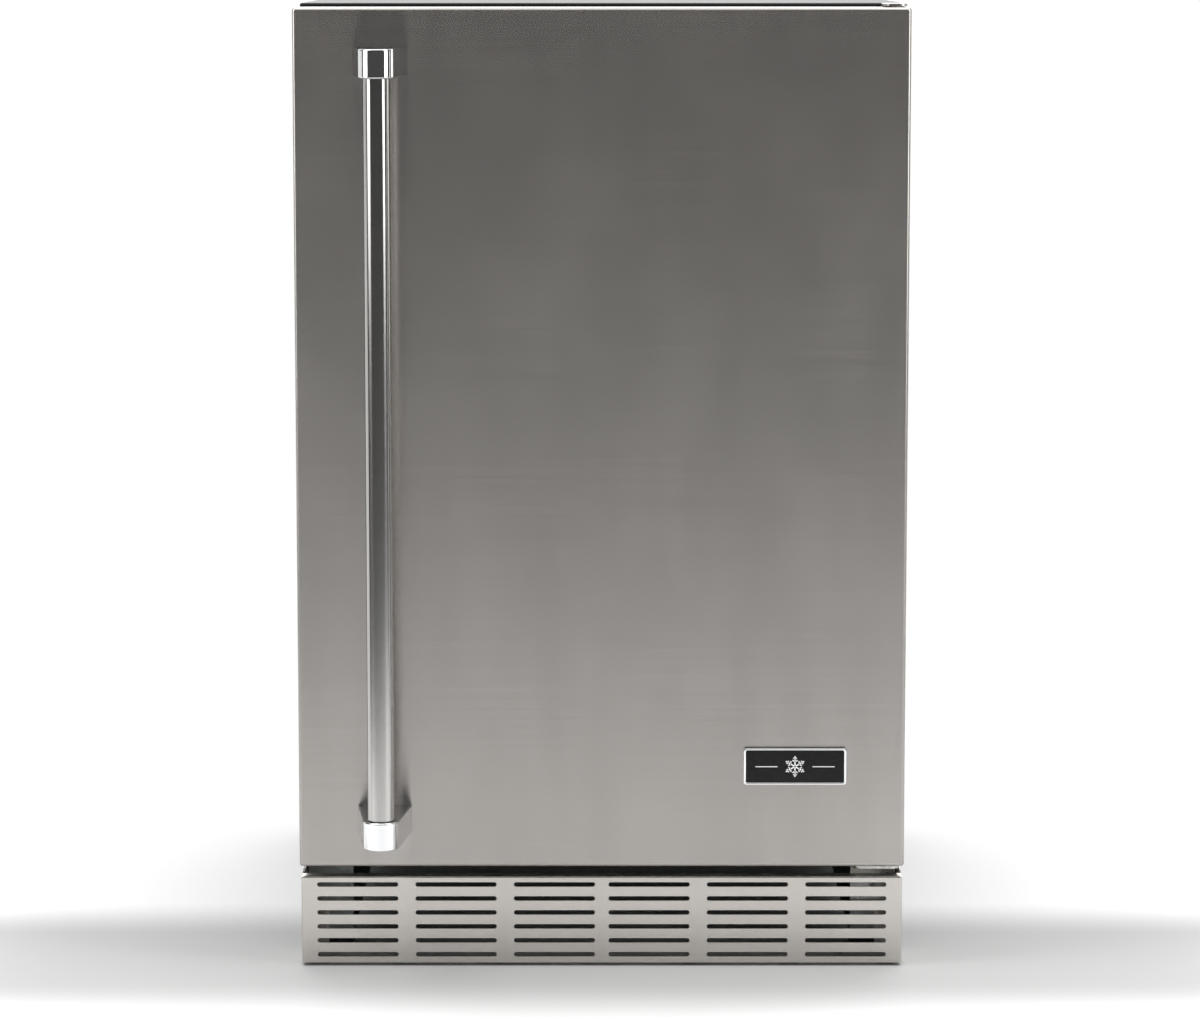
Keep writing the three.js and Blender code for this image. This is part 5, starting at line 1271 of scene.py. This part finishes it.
def control_housing():
    """The housing under the ceiling, with its openings, five vents and a ring of marks."""
    h = HOUSING
    bm = bmesh.new()
    add_open_box(bm, h, "z", 5 * MM, 5, 2 * MM)
    shell = make_piece(
        "control_moulded_housing", bm, "liner_plastic", "cabinet", "control_housing", outward=False
    )
    knob, rocker = sides("thermostat_knob"), sides("light_switch_rocker")
    x, _, z = centre_of(knob)
    gap = 1 * MM
    outlines = [circle(x, z, 5 * MM, 24), rounded_rectangle(
        rocker.x0 - gap, rocker.x1 + gap, rocker.z0 - gap, rocker.z1 + gap, 1 * MM
    )]
    outlines += [stadium(i * 3.4 * MM, z, 1.6 * MM, 1.6 * MM, 6) for i in range(-2, 3)]
    holes = bmesh.new()
    for outline in outlines:
        add_prism(holes, outline, "y", h.y0 - CUT_PAST, h.y0 + CUT_PAST)
    drill(shell, holes)
    bm = bmesh.new()
    reach = half_width(knob) + 4 * MM
    for i in range(7):
        angle = math.radians(225 - 45 * i)
        tick = (0.5 + 0.12 * i) * MM
        mark = add_box(bm, -2 * MM, 2 * MM, -0.25 * MM, 0.05 * MM, -tick, tick)
        spot = (x + reach * math.cos(angle), h.y0, z + reach * math.sin(angle))
        place = Matrix.Translation(spot) @ Matrix.Rotation(-angle, 4, "Y")
        bmesh.ops.transform(bm, matrix=place, verts=mark)
    make_piece("control_marks", bm, "black_plastic", "cabinet")


def thermostat_knob():
    """A dished knob with a fluted skirt, a waisted grip and a pointer line."""
    k = sides("thermostat_knob")
    x, _, z = centre_of(k)
    radius = half_width(k)
    skirt = HOUSING.y0 - CLEAR
    profile = [
        (0, k.y1), (4 * MM, k.y1), (4 * MM, skirt), (radius, skirt), (radius, skirt - 2.6 * MM),
        (radius - 0.5 * MM, skirt - 3.8 * MM), (radius - 2 * MM, skirt - 4.7 * MM),
        (6 * MM, skirt - 5.2 * MM), (0, skirt - 5.2 * MM),
    ]
    bm = bmesh.new()
    add_turned(bm, profile, "y", (x, z), 60)
    grip = radius - 2 * MM
    add_rounded_box(
        bm, x - 4 * MM, x + 4 * MM, k.y0, skirt - 4 * MM, z - grip, z + grip, 1.8 * MM, 4
    )
    for i in range(24):
        angle = math.radians(15 * i)
        rib = circle(x + radius * math.cos(angle), z + radius * math.sin(angle), 0.5 * MM, 8)
        add_prism(bm, rib, "y", skirt - 3 * MM, skirt)
    make_piece("thermostat_moulded_knob", bm, "grey_plastic", "thermostat_knob", "thermostat_knob")
    bm = bmesh.new()
    add_rounded_box(
        bm, x - 0.6 * MM, x + 0.6 * MM, k.y0 - 0.15 * MM, k.y0 + 1 * MM,
        z + 2 * MM, z + grip - 1.6 * MM, 0.1 * MM, 2,
    )
    make_piece("thermostat_pointer", bm, "black_plastic", "thermostat_knob")


def lamp():
    """The frosted cover with its soft edges, and the diodes inside."""
    box = sides("lamp_cover")
    bm = bmesh.new()
    add_open_box(bm, box, "z", 2 * MM, 4, 1.2 * MM)
    make_piece("lamp_frosted_cover", bm, "frosted_plastic", "cabinet", "lamp_cover", outward=False)
    bm = bmesh.new()
    y = centre_of(box)[1]
    half, pitch = 2 * MM, 11
    for i in range(-3, 4):
        x = i * pitch * MM
        add_rounded_box(
            bm, x - half, x + half, y - half, y + half, box.z1 - 1.6 * MM, box.z1 - 0.2 * MM,
            0.4 * MM, 2,
        )
    make_piece("lamp_diodes", bm, "liner_plastic", "cabinet")


def duct_cover():
    """The cover over the evaporator, with round-ended outlets by its fan and inlets at its foot."""
    d = DUCT
    bm = bmesh.new()
    add_open_box(bm, d, "y", 6 * MM, 5, 2 * MM)
    cover = make_piece(
        "duct_formed_cover", bm, "liner_plastic", "cabinet", "duct_cover", outward=False
    )
    fan_z = centre_of(sides("evaporator_fan_blade"))[2]
    outlets = [
        stadium(side * 28 * MM, fan_z + row * 12 * MM, 44 * MM, 5 * MM)
        for row in range(-3, 4) for side in (-1, 1)
    ]
    inlets = [
        stadium(column * 80 * MM, d.z0 + row * 12 * MM, 64 * MM, 5 * MM)
        for row in (1, 2, 3) for column in (-1.5, -0.5, 0.5, 1.5)
    ]
    slots = bmesh.new()
    for slot in outlets + inlets:
        add_prism(slots, slot, "y", d.y0 - CUT_PAST, d.y0 + CUT_PAST)
    drill(cover, slots)
    bm = bmesh.new()
    for side in (-1, 1):
        for z in (d.z0 + 70 * MM, d.z1 - 16 * MM):
            add_screw(bm, "y", d.y0, side * (d.x1 - 16 * MM), z, -1)
    make_piece("duct_screws", bm, "zinc_plate", "cabinet")


# ---------- Machine space ----------


def compressor():
    """The compressor's two pressed halves, the weld round its waist and its feet."""
    shell = sides("compressor_shell")
    centre = centre_of(shell)[:2]
    radius = (shell.y1 - shell.y0) / 2
    dome, seam = 26 * MM, 0.62
    waist = shell.z0 + (shell.z1 - shell.z0) * seam
    low, high = shell.z0 + dome, shell.z1 - dome
    profile = [(radius * math.cos(a), low + dome * math.sin(a)) for a in turns(-90, 0, 10)]
    bead = 1.4 * MM
    swell = radius + bead
    profile += [(radius, waist - 7 * MM), (swell, waist - 5 * MM), (swell, waist - 1 * MM)]
    profile += [(radius + 2 * bead, waist), (swell, waist + 1 * MM), (radius, waist + 2 * MM)]
    profile += [(radius * math.cos(a), high + dome * math.sin(a)) for a in turns(0, 90, 10)]
    profile[0] = (0, profile[0][1])
    profile[-1] = (0, profile[-1][1])
    bm = bmesh.new()
    add_turned(bm, profile, "z", centre, 72)
    y = centre[1]
    add_rounded_box(
        bm, shell.x0, shell.x1, y - 34 * MM, y + 34 * MM, shell.z0, shell.z0 + 3 * MM, 1 * MM
    )
    make_piece("compressor_pressed_shell", bm, "black_enamel", "cabinet", "compressor_shell")


def turns(start, end, steps):
    """Angles in radians from one angle in degrees to another."""
    return [math.radians(start + (end - start) * i / steps) for i in range(steps + 1)]


def gland():
    """The cord's gland: a ribbed nut round a soft bore."""
    g = sides("cord_gland")
    x, _, z = centre_of(g)
    wide = half_width(g)
    bore, body = 4 * MM, wide - 3 * MM
    face = sides("machine_cover").y1 + CLEAR
    profile = [(bore, g.y0), (body, g.y0), (body, face), (wide, face), (wide, face + 1.8 * MM)]
    profile += [(wide - 1.2 * MM, g.y1), (bore + 1.6 * MM, g.y1), (bore, g.y1 - 1.6 * MM)]
    bm = bmesh.new()
    add_turned(bm, profile, "y", (x, z), 48, closed=True)
    ribs = 16
    for i in range(ribs):
        angle = 2 * math.pi * i / ribs
        out = wide - 0.2 * MM
        rib = circle(x + out * math.cos(angle), z + out * math.sin(angle), 0.7 * MM, 8)
        add_prism(bm, rib, "y", face + 0.2 * MM, face + 2 * MM)
    make_piece("cord_gland_nut", bm, "black_plastic", "cabinet", "cord_gland")


# ---------- Stage ----------


def add_floor():
    """A wide pale floor with a painted shadow: a soft darker band under and beside the cabinet's
    front.
    """
    bm = bmesh.new()
    bmesh.ops.create_grid(bm, x_segments=1, y_segments=1, size=80.0)
    floor = link_mesh("studio_floor", bm)
    material, tree, shader = new_finish(
        "floor_paper_painted_shadow", {"Roughness": 0.9, "Specular IOR Level": 0.1}
    )
    split = add_node(tree, "ShaderNodeSeparateXYZ", {0: object_place(tree)})
    aside = add_node(tree, "ShaderNodeMath", {0: split.outputs[0]}, operation="ABSOLUTE")
    # The painted shadow band fades out in front of the door, under the cabinet and to both sides,
    # in metres.
    front = fade(tree, split.outputs[1], -0.31, -0.47)
    under = fade(tree, split.outputs[1], -0.14, 0.0)
    beside = fade(tree, aside.outputs[0], 0.45, 0.95)
    # 1 outside the painted shadow, 0 where it is darkest
    pale = combined(tree, "MINIMUM", combined(tree, "ADD", front, under, beside), 1.0)
    # The grey is the painted shadow; the near white is the floor's own colour
    paper = blended(tree, pale, linear("#c2c2c2"), linear("#fbfbfb"))
    tree.links.new(paper, shader.inputs["Base Color"])
    floor.data.materials.append(material)


def add_flag():
    """A dark curved screen in front, seen only in reflections, that the steel mirrors."""
    radius, height = 1.25, 0.95
    bm = bmesh.new()
    low = bm.verts.new((radius, DOOR.y0, 0.0))
    high = bm.verts.new((radius, DOOR.y0, height))
    bm.edges.new((low, high))
    bmesh.ops.spin(
        bm, geom=bm.verts[:] + bm.edges[:], cent=(0, DOOR.y0, 0), axis=(0, 0, 1),
        dvec=(0, 0, 0), angle=-math.pi, steps=48, use_merge=False,
    )
    flag = link_mesh("dark_flag", bm)
    material = bpy.data.materials.new("flag_cloth")
    material.use_nodes = True
    tree = material.node_tree
    tree.nodes.remove(tree.nodes["Principled BSDF"])
    glow = add_node(
        tree, "ShaderNodeEmission", {"Color": (1.0, 0.985, 0.97, 1.0), "Strength": studio().flag}
    )
    tree.links.new(glow.outputs[0], tree.nodes["Material Output"].inputs["Surface"])
    flag.data.materials.append(material)
    for kind in ("camera", "diffuse", "shadow", "transmission", "volume_scatter"):
        setattr(flag, "visible_" + kind, False)


def add_softbox(name, azimuth, width, power):
    """A tall rectangular light that faces the door's middle from an azimuth off its front."""
    distance, height, tall = 1.05, 0.95, 1.9
    light = bpy.data.lights.new(name, "AREA")
    light.shape = "RECTANGLE"
    light.size = width
    light.size_y = tall
    light.energy = power
    box = bpy.data.objects.new(name, light)
    bpy.context.scene.collection.objects.link(box)
    angle = math.radians(azimuth)
    box.location = (distance * math.sin(angle), DOOR.y0 - distance * math.cos(angle), height)
    target = Vector((0, DOOR.y0, 0.45))
    box.rotation_euler = (target - box.location).to_track_quat("-Z", "Y").to_euler()
    box.visible_camera = False


def add_camera():
    """The camera, a little above the door's top and tilted down at its foot."""
    look = studio()
    aside = -1.5 * MM
    camera = bpy.data.objects.new("camera", bpy.data.cameras.new("camera"))
    bpy.context.scene.collection.objects.link(camera)
    camera.location = (aside, DOOR.y0 - look.eye_distance, DOOR.z1 + look.eye_height)
    camera.rotation_euler = (math.pi / 2 - look.tilt, 0, 0)
    camera.data.sensor_width = 36
    camera.data.lens = look.lens
    camera.data.shift_y = -0.0229  # share of the frame's width
    camera.data.clip_end = 300
    bpy.context.scene.camera = camera


def add_surroundings():
    """A white room with a dark wall behind the camera, which only the steel and plating show."""
    scene = bpy.context.scene
    scene.world = bpy.data.worlds.new("white_room")
    scene.world.use_nodes = True
    tree = scene.world.node_tree
    direction = add_node(tree, "ShaderNodeTexCoord").outputs["Generated"]
    split = add_node(tree, "ShaderNodeSeparateXYZ", {0: direction})
    behind = fade(tree, split.outputs[1], 0.5, 0.75)
    above = fade(tree, split.outputs[2], 0.7, 0.9)
    eye = add_node(tree, "ShaderNodeLightPath").outputs["Is Camera Ray"]
    white = combined(tree, "MAXIMUM", behind, above, eye)
    level = studio().flag / studio().sky
    dark = (level, level * 0.98, level * 0.96, 1)
    background = tree.nodes["Background"]
    tree.links.new(blended(tree, white, dark, (1, 1, 1, 1)), background.inputs["Color"])
    background.inputs["Strength"].default_value = studio().sky
    scene.view_settings.view_transform = "Standard"


# ---------- Operators ----------


class REFRIGERATOR_OT_stage(bpy.types.Operator):
    """Lay the floor, hang the lights and the dark flag, and place the camera"""

    bl_idname = "refrigerator.stage"
    bl_label = "Studio"

    def execute(self, context):
        add_surroundings()
        add_floor()
        add_flag()
        power = studio().softbox
        add_softbox("softbox_left", -68, 0.5, 0.88 * power)
        add_softbox("softbox_right", 60, 0.48, 1.12 * power)
        add_camera()
        return {"FINISHED"}


class REFRIGERATOR_OT_door_sheet(bpy.types.Operator):
    """Fold the door's brushed sheet"""

    bl_idname = "refrigerator.door_sheet"
    bl_label = "Door sheet"

    def execute(self, context):
        door_sheet()
        return {"FINISHED"}


class REFRIGERATOR_OT_handle(bpy.types.Operator):
    """Turn the handle's tube and cast its two brackets"""

    bl_idname = "refrigerator.handle"
    bl_label = "Handle"

    def execute(self, context):
        handle_bar()
        handle_bracket("upper")
        handle_bracket("lower")
        return {"FINISHED"}


class REFRIGERATOR_OT_badge(bpy.types.Operator):
    """Make the badge's frame, plate and emblem"""

    bl_idname = "refrigerator.badge"
    bl_label = "Badge"

    def execute(self, context):
        badge()
        return {"FINISHED"}


class REFRIGERATOR_OT_kick_grille(bpy.types.Operator):
    """Fold the kick grille and cut its slots"""

    bl_idname = "refrigerator.kick_grille"
    bl_label = "Kick grille"

    def execute(self, context):
        kick_grille()
        return {"FINISHED"}


class REFRIGERATOR_OT_shell(bpy.types.Operator):
    """Fold the wrap, the back and the machine cover"""

    bl_idname = "refrigerator.shell"
    bl_label = "Cabinet shell"

    def execute(self, context):
        cabinet_wrap()
        back_panel()
        machine_cover()
        return {"FINISHED"}


class REFRIGERATOR_OT_hinges(bpy.types.Operator):
    """Make the hinge brackets, pins, bushes and the door's stop"""

    bl_idname = "refrigerator.hinges"
    bl_label = "Hinges"

    def execute(self, context):
        hinges()
        return {"FINISHED"}


class REFRIGERATOR_OT_feet(bpy.types.Operator):
    """Turn the four levelling feet"""

    bl_idname = "refrigerator.feet"
    bl_label = "Feet"

    def execute(self, context):
        feet()
        return {"FINISHED"}


class REFRIGERATOR_OT_door_lining(bpy.types.Operator):
    """Form the door's lining and its seal"""

    bl_idname = "refrigerator.door_lining"
    bl_label = "Door lining"

    def execute(self, context):
        door_lining()
        door_seal()
        return {"FINISHED"}


class REFRIGERATOR_OT_liner(bpy.types.Operator):
    """Form the liner inside the cabinet"""

    bl_idname = "refrigerator.liner"
    bl_label = "Cabinet liner"

    def execute(self, context):
        cabinet_liner()
        return {"FINISHED"}


class REFRIGERATOR_OT_bins(bpy.types.Operator):
    """Mould the three bins that hang in the door"""

    bl_idname = "refrigerator.bins"
    bl_label = "Door bins"

    def execute(self, context):
        door_bins()
        return {"FINISHED"}


class REFRIGERATOR_OT_shelves(bpy.types.Operator):
    """Grind the glass shelves and mould their trims"""

    bl_idname = "refrigerator.shelves"
    bl_label = "Shelves"

    def execute(self, context):
        shelves()
        return {"FINISHED"}


class REFRIGERATOR_OT_controls(bpy.types.Operator):
    """Mould the control housing, the knob and the lamp cover"""

    bl_idname = "refrigerator.controls"
    bl_label = "Controls"

    def execute(self, context):
        control_housing()
        thermostat_knob()
        lamp()
        return {"FINISHED"}


class REFRIGERATOR_OT_duct(bpy.types.Operator):
    """Form the cover over the evaporator"""

    bl_idname = "refrigerator.duct"
    bl_label = "Duct cover"

    def execute(self, context):
        duct_cover()
        return {"FINISHED"}


class REFRIGERATOR_OT_machine(bpy.types.Operator):
    """Press the compressor's shell and mould the cord's gland"""

    bl_idname = "refrigerator.machine"
    bl_label = "Machine space"

    def execute(self, context):
        compressor()
        gland()
        return {"FINISHED"}


class REFRIGERATOR_OT_plain_nodes(bpy.types.Operator):
    """Give the frame's own pieces that still show their finishes"""

    bl_idname = "refrigerator.plain_nodes"
    bl_label = "Frame's own pieces"

    def execute(self, context):
        slots = {s["node"]: s["material_slot"] for s in frame["record"]["subparts"]}
        for name, piece in frame["nodes"].items():
            if not piece.hide_render:
                dress(piece, slots[name])
        return {"FINISHED"}


class REFRIGERATOR_PT_build(bpy.types.Panel):
    """The refrigerator's pieces, in the order they are built"""

    bl_idname = "REFRIGERATOR_PT_build"
    bl_label = "Refrigerator"
    bl_space_type = "VIEW_3D"
    bl_region_type = "UI"
    bl_category = "Refrigerator"

    def draw(self, context):
        for step in STEPS:
            self.layout.operator(step.bl_idname)
        for group in ("refrigerator_sizes", "refrigerator_colours", "refrigerator_studio"):
            settings = getattr(context.scene, group)
            column = self.layout.column(heading=group)
            for name in settings.__annotations__:
                column.prop(settings, name)


STEPS = [
    REFRIGERATOR_OT_stage,
    REFRIGERATOR_OT_door_sheet,
    REFRIGERATOR_OT_handle,
    REFRIGERATOR_OT_badge,
    REFRIGERATOR_OT_kick_grille,
    REFRIGERATOR_OT_shell,
    REFRIGERATOR_OT_hinges,
    REFRIGERATOR_OT_feet,
    REFRIGERATOR_OT_door_lining,
    REFRIGERATOR_OT_liner,
    REFRIGERATOR_OT_bins,
    REFRIGERATOR_OT_shelves,
    REFRIGERATOR_OT_controls,
    REFRIGERATOR_OT_duct,
    REFRIGERATOR_OT_machine,
    REFRIGERATOR_OT_plain_nodes,
]
GROUPS = {
    "refrigerator_colours": RefrigeratorColours,
    "refrigerator_sizes": RefrigeratorSizes,
    "refrigerator_studio": RefrigeratorStudio,
}


def register():
    for name, group in GROUPS.items():
        bpy.utils.register_class(group)
        setattr(bpy.types.Scene, name, PointerProperty(type=group))
    for step in STEPS:
        bpy.utils.register_class(step)
    bpy.utils.register_class(REFRIGERATOR_PT_build)


def unregister():
    bpy.utils.unregister_class(REFRIGERATOR_PT_build)
    for step in reversed(STEPS):
        bpy.utils.unregister_class(step)
    for name, group in GROUPS.items():
        delattr(bpy.types.Scene, name)
        bpy.utils.unregister_class(group)


def main():
    """Builds everything in order."""
    register()
    for step in STEPS:
        area, action = step.bl_idname.split(".")
        getattr(getattr(bpy.ops, area), action)()


if __name__ == "__main__":
    main()
